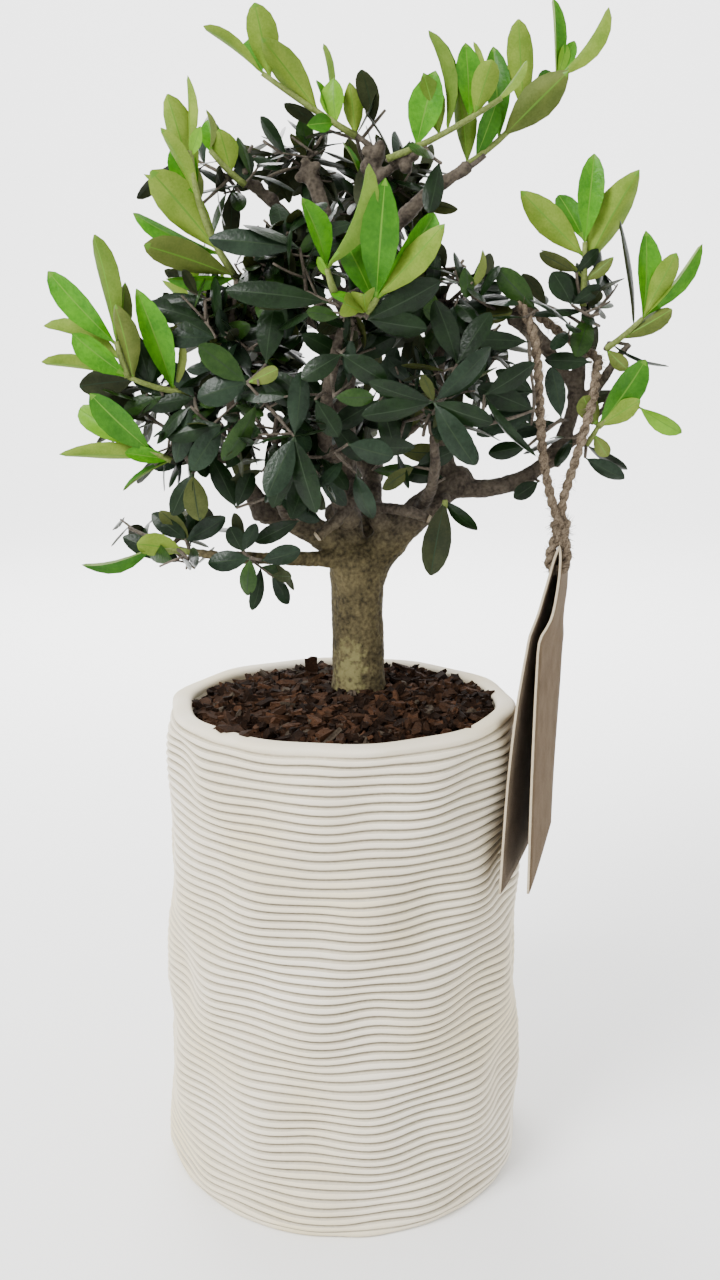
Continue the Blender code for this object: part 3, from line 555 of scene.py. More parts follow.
def scatter_chips():
    """The chips by colour: most lie flat, some lean, and a few stand."""
    rng = random.Random(41)
    kinds = [chip_template(rng) for _kind in range(CHIP_KINDS)]
    heaps = {chip[0]: [] for chip in CHIP_COLOURS}
    names, shares = list(heaps), [chip[1] for chip in CHIP_COLOURS]
    for _chip in range(CHIP_COUNT):
        radius = (MULCH_EDGE - 1.5 * MM) * math.sqrt(rng.random())
        angle = rng.uniform(0, 2 * math.pi)
        x, y = radius * math.cos(angle), radius * math.sin(angle)
        limits = SMALL_CHIP if rng.random() < SMALL_SHARE else LONG_CHIP
        length, width, thickness = [rng.uniform(*limit) * MM for limit in limits]
        if math.hypot(x - TRUNK_FOOT.x, y - TRUNK_FOOT.y) < TRUNK_RADIUS + 0.35 * length:
            continue
        lean = STEEP_LEAN if rng.random() < STEEP_SHARE else FLAT_LEAN
        tilt = (rng.uniform(-lean, lean), rng.uniform(-lean, lean))
        place = Vector((x, y, mulch_level(x, y) + rng.uniform(*CHIP_DEPTH) * MM))
        matrix = chip_matrix(place, rng.uniform(0, 2 * math.pi), tilt, length, width, thickness)
        heaps[rng.choices(names, shares)[0]].append((rng.choice(kinds), matrix))
    for place, turn, tilt, length, width in STANDING_CHIPS:
        matrix = chip_matrix(
            Vector(place) * MM, turn, tilt, length * MM, width * MM, STANDING_THICKNESS)
        heaps[names[1]].append((rng.choice(kinds), matrix))
    for name, _share, *tones in CHIP_COLOURS:
        material = mottled_material(
            name, tones, roughness=0.85, blotches=260, grains=1500, grain_share=0.5,
            relief=0.25 * MM, sheen=DAMP_SHEEN)
        chips = object_from(name, add_copies(bmesh.new(), heaps[name]), 25)
        dress(chips, [material], "bark_mulch", "mulch")


crumbs = mottled_material(
    "crumbs", CRUMB_TONES, roughness=0.9, blotches=300, grains=1400, grain_share=0.6,
    relief=0.4 * MM)
dress(soil_bed(), [crumbs], "bark_mulch", "mulch")
scatter_chips()

# Trunk and limbs: one skin of grey-olive bark over the short trunk, its fork and every limb down to
# pencil-lead thickness, with swollen forks, knobs where shoots were pruned, and lichen low down.
TRUNK_LEVELS = (0, 3, 10, 20, 32, 42, 48, 52)
TRUNK_RADII = (9.9, 9.5, 9.2, 9.0, 9.1, 9.8, 9.4, 6.5)
TRUNK_LEAN = -0.6 / 52

# Each limb's start, knee and tip, and its radius at both ends, in millimetres.
LIMBS = (
    ("leader_low", (3.8, 6.5, 214), (0.0, 8, 250), (1.2, 7.5, 287), 5.6, 3.9),
    ("leader_top", (1.2, 7.5, 284), (6.4, 5, 318), (11, 2, 350), 3.6, 2.6),
    ("right_low", (8, 6, 215), (24.5, 4, 233), (40, 2, 246), 6.4, 4.6),
    ("left_low", (2, 5, 218), (-12, 2, 230), (-27, -4, 236), 5.4, 4.2),
    ("lower_left", (-1, 2, 219), (-29, -13, 221.5), (-50, -16, 224), 3.0, 1.5),
    ("back_low", (6, 8, 214), (10, 26, 236), (9, 42, 256), 5.0, 3.0),
    ("left_rise", (-26, -3.5, 235.5), (-33.5, -7, 252), (-36.4, -5, 276), 3.4, 2.2),
    ("left_side", (-33.5, -7, 252), (-40, -10, 254), (-47, -12, 252), 1.9, 1.4),
    ("left_front", (-15, 1, 231), (-20, -12, 238), (-21, -21, 250), 2.2, 1.4),
    ("right_out", (37, 2, 244), (56, 0, 244.5), (71, 0, 254), 4.0, 3.0),
    ("right_out_rise", (70, 0, 252.5), (77, 0, 268), (78.5, 0, 289), 2.8, 1.9),
    ("right_end", (77.4, 0, 272), (84, -1, 276), (91, -4, 287), 1.7, 1.4),
    ("right_knob", (77.6, 0, 277), (67, -3, 290), (57, -7, 299), 1.7, 2.9),
    ("right_hook", (71, 0, 256), (77, -3, 259), (82, -5, 265), 1.8, 1.3),
    ("right_rise", (37, 2.5, 245), (33, 4, 266), (32.7, 4, 296), 3.2, 2.0),
    ("right_front", (25, 3, 234), (30, -12, 247), (29, -24, 263), 2.4, 1.4),
    ("right_drop", (31, 3, 239), (35, -5, 241), (34, -11, 239), 1.5, 1.1),
    ("front", (2.5, 3, 232), (-5, -24, 262), (1, -38, 296), 3.2, 1.6),
    ("front_left", (2, 7, 288), (-9, -4, 298), (-20, -13, 304), 2.2, 1.4),
    ("upper_left", (2.6, 7, 300), (-14, 5, 327), (-32, 0, 343), 2.5, 1.6),
    ("upper_spur", (4, 6.5, 310), (-4, 13, 330), (-11, 15, 347), 2.0, 2.8),
    ("top_right", (4.6, 6, 305), (18, 2, 329), (38.7, -2, 345), 3.0, 1.9),
    ("top_spur", (9.5, 3, 342), (15, 0.5, 345.5), (21, -3, 348), 1.9, 1.5),
    ("cut_stub_left", (5, 3, 245), (1.5, -7, 237), (-8, -12, 228.7), 2.3, 2.1),
    ("cut_stub_right", (11, 3, 236), (19, -5, 236.8), (28.8, -9, 234.2), 2.0, 1.7),
    ("back_left", (9.6, 34, 246), (-8, 38, 262), (-26, 40, 277), 2.4, 1.6),
    ("back_right", (9.4, 36, 249), (26, 40, 262), (41, 42, 278), 2.4, 1.6),
    ("back_top", (5.4, 6, 312), (8, 22, 322), (10, 35, 335), 2.4, 1.7),
)
LIMB_STEPS = 7
SKIN_STEPS = 16
SKIN_SMOOTHING = 4
SKIN_VOXEL = 0.57 * MM

# Knobs of old pruning at forks and at the stubs' ends: the middle and the radius in millimetres.
KNOBS = (
    ((11, 2, 350.5), 3.4), ((8.5, 3, 347), 2.8), ((-11, 15, 347.5), 3.0),
    ((56.6, -7.2, 299.6), 3.2), ((66, -3, 291), 2.3), ((33, 3.6, 262), 3.0), ((1.4, 7, 290), 4.2),
    ((-33.5, -7, 252), 2.9), ((77.6, 0, 274), 2.7), ((5, 3, 307), 3.9), ((-2.6, 4, 234.5), 3.8),
    ((13.5, 4.2, 232), 4.4), ((-20, -0.5, 233), 4.6), ((40, 2, 246), 4.9), ((-1, -18, 256), 2.8),
    ((-36.4, -5, 276), 2.5), ((-13.8, 14, 345), 1.9), ((-8.6, 13.6, 348.6), 1.8),
    ((-12.2, 13, 350), 1.6), ((-7.6, 14.6, 341), 1.9), ((19.2, -3, 349.4), 2.4),
    ((23, -4, 349.8), 2.1), ((20.6, -4.4, 346), 2.3), ((12.6, 0.6, 353.2), 2.0),
    ((8, 1, 351.6), 1.8), ((-31, -1, 344.6), 2.0), ((-27.4, 0.4, 340.6), 2.2),
    ((-22.6, 2, 336.8), 2.4), ((39.6, -2.4, 345.8), 2.3), ((33.6, -1.6, 342.4), 2.3),
    ((59.2, -7.8, 301), 1.9), ((55.2, -8.4, 298.2), 1.7),
)

# The limbs that show thinner in the picture than their solids, and by how much.
SLIMMER = {"right_out": 0.86, "lower_left": 0.9}
LIMB_WANDER = 0.5 * MM
LIMB_FLARE = 0.38
LIMB_FLARE_END = 0.22
LIMB_SWELL = 0.16
BARK_LUMP = 0.42 * MM
BARK_FURROW = 0.42 * MM
BARK_PIT = 0.16 * MM
BARK_FINISH = {"blotches": 170, "grains": 800, "grain_share": 0.55}


def millimetres(place):
    return Vector(place) * MM


def through(start, knee, tip, share):
    """A point on the smooth arc that passes the knee half way."""
    control = knee * 2 - (start + tip) * 0.5
    return start.lerp(control, share).lerp(control.lerp(tip, share), share)


LIMB_ARCS = {limb[0]: [millimetres(place) for place in limb[1:4]] for limb in LIMBS}


def limb_route(name, steps):
    return [through(*LIMB_ARCS[name], step / (steps - 1)) for step in range(steps)]


def limb_radii(first, last, steps):
    return [first + (last - first) * step / (steps - 1) for step in range(steps)]


def limb_heading(name):
    """The direction in which a limb ends."""
    return (LIMB_ARCS[name][2] - through(*LIMB_ARCS[name], 0.9)).normalized()


def evaluated_mesh(piece):
    """The mesh of a piece with its bevel or modifiers carried out. The piece goes."""
    bpy.context.view_layer.update()
    mesh = bpy.data.meshes.new_from_object(
        piece.evaluated_get(bpy.context.evaluated_depsgraph_get()))
    bpy.data.objects.remove(piece, do_unlink=True)
    return mesh


def tubes(name, routes, sides_resolution):
    """The mesh of round tapering tubes: each route is a list of (place, radius)."""
    curve = bpy.data.curves.new(name, "CURVE")
    curve.dimensions = "3D"
    curve.bevel_depth = MM
    curve.bevel_resolution = sides_resolution
    curve.use_fill_caps = True
    for route in routes:
        spline = curve.splines.new("POLY")
        spline.points.add(len(route) - 1)
        for point, (place, radius) in zip(spline.points, route):
            point.co = (*place, 1)
            point.radius = radius / MM
    shape = bmesh.new()
    shape.from_mesh(evaluated_mesh(link(bpy.data.objects.new(name, curve))))
    bmesh.ops.remove_doubles(shape, verts=shape.verts, dist=0.005 * MM)
    return mesh_from(name, shape)


def gnarled(route, radii):
    """A limb's route and radii made uneven, and flared where it leaves its parent."""
    rough = []
    for number, (place, radius) in enumerate(zip(route, radii)):
        seat = place / (7 * MM)
        shift = Vector((noise.noise(seat), noise.noise(seat + Vector((9, 0, 0))), 0)) * LIMB_WANDER
        share = number / (len(route) - 1)
        flare = 1 + LIMB_FLARE * max(0, 1 - share / LIMB_FLARE_END) ** 2
        swell = 1 + LIMB_SWELL * noise.noise(place / (4 * MM) + Vector((0, 5, 0)))
        rough.append((place + shift * min(1, share * 6), radius * flare * swell))
    return rough


def wood_routes():
    """The trunk's route, then every limb's, as lists of (place, radius)."""
    routes = [[(TRUNK_FOOT + Vector((TRUNK_LEAN * level, 0, level)) * MM, radius * MM)
               for level, radius in zip(TRUNK_LEVELS, TRUNK_RADII)]]
    for name, _start, _knee, _tip, first, last in LIMBS:
        slim = SLIMMER.get(name, 1) * MM
        radii = limb_radii(first * slim, last * slim, SKIN_STEPS)
        routes.append(gnarled(limb_route(name, SKIN_STEPS), radii))
    return routes


def fused(mesh):
    """The mesh's overlapping bodies as one even skin."""
    piece = link(bpy.data.objects.new("wood", mesh))
    remesh = piece.modifiers.new("Skin", "REMESH")
    remesh.mode = "VOXEL"
    remesh.voxel_size = SKIN_VOXEL
    return evaluated_mesh(piece)


def bark_relief(place):
    """The bark's height over its smooth skin: slow lumps, upright furrows and small pits."""
    lumps = noise.noise(place / (7 * MM))
    stretched = Vector((place.x, place.y, place.z * 0.45))
    furrows = abs(noise.noise(stretched / (1.7 * MM) + Vector((4, 4, 4))))
    pits = noise.noise(place / (0.9 * MM) + Vector((2, 8, 1)))
    return lumps * BARK_LUMP + (0.28 - furrows) * BARK_FURROW + pits * BARK_PIT


def bark_skin():
    """The wood's tubes and knobs fused, smoothed, and given the bark's relief."""
    shape = bmesh.new()
    shape.from_mesh(tubes("wood", wood_routes(), 6))
    for place, radius in KNOBS:
        seat = Matrix.Translation(millimetres(place))
        bmesh.ops.create_icosphere(shape, subdivisions=2, radius=radius * MM, matrix=seat)
    skin = bmesh.new()
    skin.from_mesh(fused(mesh_from("wood", shape)))
    for _pass in range(SKIN_SMOOTHING):
        bmesh.ops.smooth_vert(
            skin, verts=skin.verts, factor=0.5, use_axis_x=True, use_axis_y=True, use_axis_z=True)
    skin.normal_update()
    heights = [bark_relief(vertex.co) for vertex in skin.verts]
    normals = [vertex.normal.copy() for vertex in skin.verts]
    for vertex, height, normal in zip(skin.verts, heights, normals):
        vertex.co += normal * height
    return object_from("bark_skin", skin, 80)


BARK_OLIVE = ((0.022, 0.017, 0.007), (0.11, 0.088, 0.040))
BARK_GREY = ((0.024, 0.018, 0.013), (0.085, 0.069, 0.050))
LICHEN = (0.17, 0.155, 0.062)
LICHEN_PLACE = (2.0 * MM, -4 * MM, 180 * MM)
LICHEN_SIZE = (6.5 * MM, 9 * MM, 11 * MM)
LICHEN_EDGE = (1.95, 2.65)
LICHEN_COVER = 0.8
LICHEN_FLECKS = 520
LICHEN_RAGGED = 3.2
BARK_ROUGHNESS = 0.85
BARK_GRAIN = 0.35 * MM
OLIVE_UP_TO = 222 * MM
GREY_FROM = 236 * MM


def bark_material():
    """Olive and speckled on the trunk, greyer and browner above, with a pale lichen patch."""
    material, tree, shader = new_material("bark", BARK_GREY[1], BARK_ROUGHNESS)
    place = tree.nodes.new("ShaderNodeTexCoord").outputs["Object"]
    olive, grey = [mottled(tree, tones, **BARK_FINISH) for tones in (BARK_OLIVE, BARK_GREY)]
    height = wired(tree, "ShaderNodeSeparateXYZ", Vector=place)
    rise = wired(tree, "ShaderNodeMapRange", Value=height.outputs["Z"], From_Min=OLIVE_UP_TO,
                 From_Max=GREY_FROM)
    wood = blended(tree, rise.outputs["Result"], olive.outputs["Color"], grey.outputs["Color"])
    centred = wired(tree, "ShaderNodeMapping", Vector=place)
    centred.vector_type = "TEXTURE"
    centred.inputs["Location"].default_value = LICHEN_PLACE
    centred.inputs["Scale"].default_value = LICHEN_SIZE
    away = tree.nodes.new("ShaderNodeVectorMath")
    away.operation = "LENGTH"
    tree.links.new(centred.outputs["Vector"], away.inputs[0])
    flecks = wired(tree, "ShaderNodeTexNoise", Vector=place, Scale=LICHEN_FLECKS, Detail=3.0)
    edge = tree.nodes.new("ShaderNodeMath")
    edge.operation = "MULTIPLY_ADD"
    tree.links.new(flecks.outputs["Fac"], edge.inputs[0])
    edge.inputs[1].default_value = LICHEN_RAGGED
    tree.links.new(away.outputs["Value"], edge.inputs[2])
    patch = wired(tree, "ShaderNodeMapRange", Value=edge.outputs["Value"], From_Min=LICHEN_EDGE[0],
                  From_Max=LICHEN_EDGE[1], To_Min=LICHEN_COVER, To_Max=0)
    crust = blended(tree, patch.outputs["Result"], wood, (*LICHEN, 1))
    tree.links.new(crust, shader.inputs["Base Color"])
    raised(tree, shader, olive.outputs["Height"], BARK_GRAIN)
    return material


dress(bark_skin(), [bark_material()], "bark", "trunk", *[limb[0] for limb in LIMBS])

# Pruning cuts: the pale round wood that shows where two stubs were sawn off.
CUT_WOOD = ((0.20, 0.16, 0.10), (0.34, 0.28, 0.19))
CUT_STUBS = ("cut_stub_left", "cut_stub_right")
CUT_DEPTH = 0.7 * MM
CUT_BEVEL = (0.86, 0.7)


def cut_faces():
    """A thin bevelled disc of bare wood on the end of each sawn stub."""
    shape = bmesh.new()
    for name, _start, _knee, tip, _first, last in LIMBS:
        if name in CUT_STUBS:
            heading = limb_heading(name)
            turn = heading.to_track_quat("Z", "Y").to_matrix().to_4x4()
            seat = Matrix.Translation(millimetres(tip) + heading * CUT_DEPTH / 2) @ turn
            radius1, radius2 = [last * share * MM for share in CUT_BEVEL]
            bmesh.ops.create_cone(
                shape, cap_ends=True, segments=14, radius1=radius1, radius2=radius2,
                depth=CUT_DEPTH, matrix=seat)
    return object_from("cut_faces", shape, 30)


cut_wood = mottled_material(
    "cut_wood", CUT_WOOD, roughness=0.8, blotches=300, grains=1200, grain_share=0.4,
    relief=0.1 * MM)
dress(cut_faces(), [cut_wood], "bark")

# The card: one strip of brown kraft board folded over at the top, punched near the front of the
# fold, bent by its own hanging, with cream cut edges and nothing printed on it.
CARD_LENGTH = 114 * MM
CARD_WIDTH = 46 * MM
CARD_THICKNESS = 0.8 * MM
CARD_PEAK = Vector((72, -16, 226)) * MM
CARD_TILT = math.radians(16)
CARD_FAR_RISE = 0.17
CARD_FAR_FLARE = 0.55
CARD_ROWS = 44
CARD_COLUMNS = 8
CARD_CURVE_STEPS = 6
ROWS_TOWARDS_FOLD = 1.25
FAR_RISE_BEND = 1.2
FOLD_SMOOTHING = 3
KRAFT = ((0.085, 0.058, 0.034), (0.125, 0.089, 0.056))
KRAFT_INSIDE = ((0.075, 0.056, 0.038), (0.115, 0.088, 0.062))
KRAFT_EDGE = ((0.36, 0.295, 0.20), (0.46, 0.39, 0.28))
KRAFT_SHEEN = 0.03

# How it hangs, in millimetres and degrees: the distance below the fold, the front panel's drift to
# the left and its turn, and the gap between the panels' front edges.
CARD_SHAPE = (
    (0, 0, 11.8, 0), (4, -0.2, 11.8, 1.9), (10, 0.2, 11.8, 3.3), (16, 1.1, 11.8, 4.2),
    (22, 2.3, 12.6, 4.8), (26, 3.8, 14.6, 4.8), (30, 6.3, 17.2, 3.9), (34, 7.3, 18, 3.7),
    (44, 8, 18, 4.9), (56, 8.7, 17.6, 6.2), (80, 9.9, 16.8, 7.9), (114, 11.3, 16.2, 9.2),
)


def smooth_through(points, steps):
    """A Catmull-Rom curve through the points, with some steps between each two."""
    ends = [points[0] * 2 - points[1]] + points + [points[-1] * 2 - points[-2]]
    places = []
    for a, b, c, d in zip(ends, ends[1:], ends[2:], ends[3:]):
        for step in range(steps):
            t = step / steps
            places.append(0.5 * (b * 2 + (c - a) * t + (a * 2 - b * 5 + c * 4 - d) * t * t
                                 + (b * 3 - a - c * 3 + d) * t * t * t))
    places.append(points[-1])
    return places


CARD_CURVE = smooth_through([Vector(row) for row in CARD_SHAPE], CARD_CURVE_STEPS)


def card_place(distance, inward, panel):
    """A point of the card: distance below the fold, inward from its front edge, panel 0 or 1."""
    marks = [mark.x * MM for mark in CARD_CURVE]
    drift, turn, gap = [
        float(np.interp(distance, marks, [mark[column] for mark in CARD_CURVE]))
        for column in (1, 2, 3)]
    turn = math.radians(turn)
    down = Vector((0, -math.sin(CARD_TILT), -math.cos(CARD_TILT)))
    in_plane = Vector((0, math.cos(CARD_TILT), -math.sin(CARD_TILT)))
    width = Vector((math.sin(turn), 0, 0)) + in_plane * math.cos(turn)
    closing = 1 + (CARD_FAR_FLARE - 1) * inward / CARD_WIDTH
    drift = (drift + gap * panel * closing) * MM
    return CARD_PEAK + down * distance + width * inward - Vector((drift, 0, 0))


def folded_card():
    """The strip's grid laid along both panels, smoothed at the fold, and given its thickness."""
    shape = bmesh.new()
    bmesh.ops.create_grid(shape, x_segments=CARD_COLUMNS, y_segments=2 * CARD_ROWS, size=0.5)
    for vertex in shape.verts:
        along = vertex.co.y * 2
        inward = vertex.co.x + 0.5
        rise = CARD_FAR_RISE * inward ** FAR_RISE_BEND
        distance = CARD_LENGTH * abs(along) ** ROWS_TOWARDS_FOLD * (1 - rise)
        vertex.co = card_place(distance, CARD_WIDTH * inward, 1 if along > 0 else 0)
    for _pass in range(FOLD_SMOOTHING):
        inner = [vertex for vertex in shape.verts if not vertex.is_boundary]
        bmesh.ops.smooth_vert(shape, verts=inner, factor=0.3, use_axis_x=True)
    bmesh.ops.recalc_face_normals(shape, faces=shape.faces)
    card = object_from("folded_card", shape, 60)
    thicken = card.modifiers.new("Board", "SOLIDIFY")
    thicken.thickness = CARD_THICKNESS
    thicken.offset = 0
    thicken.material_offset = 1
    thicken.material_offset_rim = 2
    return card


kraft_layers = (("kraft_face", KRAFT), ("kraft_inside", KRAFT_INSIDE), ("kraft_edge", KRAFT_EDGE))
dress(folded_card(), [
    mottled_material(
        layer, tones, roughness=0.82, blotches=120, grains=1900, grain_share=0.45,
        relief=0.06 * MM, sheen=KRAFT_SHEEN)
    for layer, tones in kraft_layers], "kraft_card", "card")

# The twine: two plies of hairy brown jute, looped over two twigs, knotted under them and wrapped
# through the card just below its fold.
TWINE_RADIUS = 1.6 * MM
TWINE_STEPS = 2
PLY_STEPS = 12
PLY_RADIUS = 1.05 * MM
PLY_OFFSET = 0.72 * MM
PLY_PITCH = 7.5 * MM
PLY_SWELL = (0.92, 1.08)
HAIR_COUNT = 1700
HAIR_RADII = (0.075 * MM, 0.03 * MM)
HAIR_LENGTHS = (0.8, 2.6)
KNOT = Vector((72.6, -12.4, 231)) * MM
KNOT_RADIUS = 3.4 * MM
KNOT_STEPS = 90
KNOT_STRETCH = (0.75, 1.4, 1.6)
KNOT_STOUTNESS = 0.85
WRAP_STEPS = 8
WRAP_STOUTNESS = 1.1

# Points on the twine's line in millimetres: round the card under its fold, and from the knot up
# over the two twigs and back.
CARD_WRAP = (
    (73.2, -12.4, 230.5), (74.2, -12.8, 227), (74.9, -12.8, 222.5), (74.3, -12, 218.2),
    (72, -11.4, 217), (69.6, -12.2, 218.6), (69.5, -12.6, 222.5), (70.8, -12.6, 227),
    (72, -12.4, 230.5),
)
TWINE_ROUTE = (
    (71.6, -12.3, 234), (68.6, -13, 243), (65.8, -13.6, 256), (64.4, -14, 270),
    (63.2, -14.2, 284), (61.2, -14, 295), (57.9, -12.4, 302.2), (57.2, -8, 304.6),
    (59.6, -2.6, 303.6), (64, 2.6, 301), (70, 6.2, 297), (77, 7.4, 292),
    (83.2, 5.8, 288.4), (85.4, 1.2, 285.8), (83.6, -5.8, 282), (82.4, -9.6, 274.6),
    (80.2, -9.8, 265), (76.8, -10.8, 253), (73.4, -11.6, 241), (72.8, -11.8, 234),
)
JUTE = ((0.048, 0.034, 0.021), (0.215, 0.166, 0.114))


def twine_route(steps):
    return smooth_through([millimetres(point) for point in TWINE_ROUTE], steps)


def plies(route, stoutness, rng):
    """Two strands wound round a route: their routes with radii that swell and thin a little."""
    radius, offset = PLY_RADIUS * stoutness, PLY_OFFSET * stoutness
    strands = ([], [])
    side = (route[1] - route[0]).orthogonal().normalized()
    walked = 0
    for number, place in enumerate(route):
        ahead = route[min(number + 1, len(route) - 1)]
        behind = route[max(number - 1, 0)]
        heading = (ahead - behind).normalized()
        side = (side - heading * side.dot(heading)).normalized()
        walked += (place - behind).length
        for half, strand in enumerate(strands):
            turn = Matrix.Rotation(2 * math.pi * walked / PLY_PITCH + math.pi * half, 3, heading)
            swell = radius * rng.uniform(*PLY_SWELL)
            strand.append((place + turn @ side * offset, swell))
    return strands


def knot_route():
    """An overhand knot pulled tight: a three-lobed curve, taller than it is wide."""
    width, depth, height = KNOT_STRETCH
    places = []
    for step in range(KNOT_STEPS + 1):
        turn = 2 * math.pi * step / KNOT_STEPS
        x = math.sin(turn) + 2 * math.sin(2 * turn)
        z = math.cos(turn) - 2 * math.cos(2 * turn)
        places.append(KNOT + Vector((x * width, -math.sin(3 * turn) * depth, z * height)) * MM)
    return places


def hairs(route, rng):
    """Short stray fibres that stand off the twine, as thin three-sided spikes."""
    spike = bmesh.new()
    bmesh.ops.create_cone(
        spike, cap_ends=True, segments=3, radius1=HAIR_RADII[0], radius2=HAIR_RADII[1], depth=1)
    bmesh.ops.translate(spike, vec=(0, 0, 0.5), verts=spike.verts)
    mesh = mesh_from("hair", spike)
    copies = []
    for _hair in range(HAIR_COUNT):
        number = rng.randrange(len(route) - 1)
        place = route[number].lerp(route[number + 1], rng.random())
        heading = (route[number + 1] - route[number]).normalized()
        out = Vector([rng.gauss(0, 1) for _axis in range(3)])
        out = (out - heading * out.dot(heading)).normalized()
        along = (out + heading * rng.uniform(0.2, 1.5)).normalized()
        turn = along.to_track_quat("Z", "Y").to_matrix().to_4x4()
        length = Matrix.Diagonal((1, 1, rng.uniform(*HAIR_LENGTHS) * MM, 1))
        copies.append((mesh, Matrix.Translation(place + out * PLY_RADIUS * 1.2) @ turn @ length))
    return copies


def jute_twine():
    """The loop, the knot and the wrap through the card, each of two plies, and their hairs."""
    rng = random.Random(7)
    loop = twine_route(PLY_STEPS)
    knot = knot_route()
    wrap = smooth_through([millimetres(point) for point in CARD_WRAP], WRAP_STEPS)
    strands = []
    for route, stoutness in ((loop, 1), (knot, KNOT_STOUTNESS), (wrap, WRAP_STOUTNESS)):
        strands += plies(route, stoutness, rng)
    shape = bmesh.new()
    shape.from_mesh(tubes("twine", strands, 2))
    return object_from("jute_twine", add_copies(shape, hairs(loop + knot + wrap, rng)), 60)


jute = mottled_material(
    "jute", JUTE, roughness=0.95, blotches=500, grains=2200, grain_share=0.5, relief=0.3 * MM)
dress(jute_twine(), [jute], "jute", "twine")

# Foliage: woody twigs and soft new stems that grow on from the limbs, with the olive's leaves in
# crossed pairs: small, thick and dark blue-green on old wood, long and bright on the new shoots.

# Each mass, the limb that it grows on, the middle of its twigs in millimetres, how many big twigs
# it has, and its seed.
MASSES = (
    ("top_left", "leader_top", (4, 1, 357), 4, 11),
    ("top_middle", "top_spur", (27, -6, 352), 3, 12),
    ("top_right_spray", "top_right", (46, -1, 350), 4, 13),
    ("upper_left_spray", "upper_left", (-37, -3, 343), 5, 14),
    ("upper_back", "upper_spur", (-15, 27, 350), 6, 15),
    ("shoulder_left", "left_rise", (-35, -14, 300), 5, 16),
    ("far_left", "left_side", (-56, -18, 266), 5, 17),
    ("low_left", "lower_left", (-57, -18, 226), 4, 18),
    ("inner_left", "left_front", (-21, -27, 264), 9, 19),
    ("front_top", "front", (3, -43, 302), 4, 40),
    ("chest_left", "front_left", (-23, -18, 314), 8, 21),
    ("inner_right", "right_front", (28, -28, 271), 9, 22),
    ("under_right", "right_drop", (34, -15, 236), 1, 23),
    ("shoulder_right", "right_rise", (34, 1, 308), 8, 24),
    ("far_right", "right_out_rise", (80, 1, 300), 5, 25),
    ("tip_right", "right_end", (94, -6, 291), 3, 26),
    ("low_right", "right_hook", (86, -7, 270), 3, 27),
    ("back_left_spray", "back_left", (-36, 42, 288), 6, 28),
    ("back_right_spray", "back_right", (52, 44, 288), 6, 29),
    ("back_middle", "back_low", (8, 54, 268), 5, 30),
    ("back_crown", "back_top", (12, 44, 342), 5, 31),
)
MASS_NAMES = [mass[0] for mass in MASSES]

# The rule's young shoots, as in the solids: the mass, the foot and the tip in millimetres, the
# pairs of leaves, their length in millimetres and their roll in degrees. They help to share out
# the crown, and then the picture's own shoots take their place.
YOUNG_SHOOTS = (
    ("top_left", (3, 1, 356), (-25, -4, 374), 3, 24, 20),
    ("top_left", (5, 2, 356), (6, 2, 363), 1, 15, 60),
    ("top_middle", (27, -6, 352), (49, -12, 364), 4, 25, 70),
    ("top_right_spray", (47, -1, 350), (69, 3, 373), 4, 27, 30),
    ("upper_left_spray", (-37, -3, 344), (-41, -6, 352), 2, 16, 40),
    ("shoulder_left", (-35, -15, 306), (-44, -29, 345), 5, 31, 35),
    ("far_left", (-52, -16, 272), (-70, -25, 296), 3, 29, 10),
    ("far_left", (-54, -18, 274), (-54, -33, 287), 2, 20, 70),
    ("far_left", (-57, -17, 262), (-66, -20, 261), 2, 25, 65),
    ("low_left", (-58, -18, 226), (-66, -21, 224), 1, 18, 80),
    ("front_top", (5, -43, 301), (9, -49, 309), 3, 30, 30),
    ("front_top", (1, -43, 303), (-5, -50, 315), 2, 20, 0),
    ("far_right", (80, 1, 303), (78, -2, 325), 3, 26, 25),
    ("tip_right", (94, -6, 291), (98, -8, 301), 3, 24, 45),
    ("low_right", (86, -7, 270), (93, -8, 271), 2, 22, 70),
    ("under_right", (34, -15, 236), (33, -17, 229), 1, 19, 0),
)
MATURE_LEAF = 24 * MM
MATURE_PAIRS = 2
MATURE_REACH = 17 * MM
MATURE_LEAN = 0.75
YOUNG_LEAN = 0.42
PAIR_LEAN = 0.2
END_LEAF_LEAN = 0.12
END_LEAF_SIZE = 0.7
LEAF_TRIES = 5
LEAF_SIZES = (0.85, 1.08)
LEAF_WIDTH = 0.42
LEAF_ARCH = 0.05
LEAF_MARKS = (0.25, 0.42, 0.6, 0.78, 1.0)
LEAF_SUNK = 0.25 * MM
PAIR_INSET = 1.2 * MM
LEAF_APART = 2.2 * MM
STEM_RADIUS = 1.5 * MM
STEM_TIP_RADIUS = 1.2 * MM
TWIG_RADIUS = 0.85 * MM
TWIG_TIP_RADIUS = 0.7 * MM
NEAR_HUB = 5 * MM
SPACE_MARGIN = 0.5 * MM
LIMB_MARGIN = 0.9 * MM
CROWN_FLOOR = 201 * MM
PAIR_SPACING = 6.5 * MM
YOUNG_SPACING = 1.4
GAP = 0.4 * MM
GOLDEN_ANGLE = math.pi * (3 - math.sqrt(5))


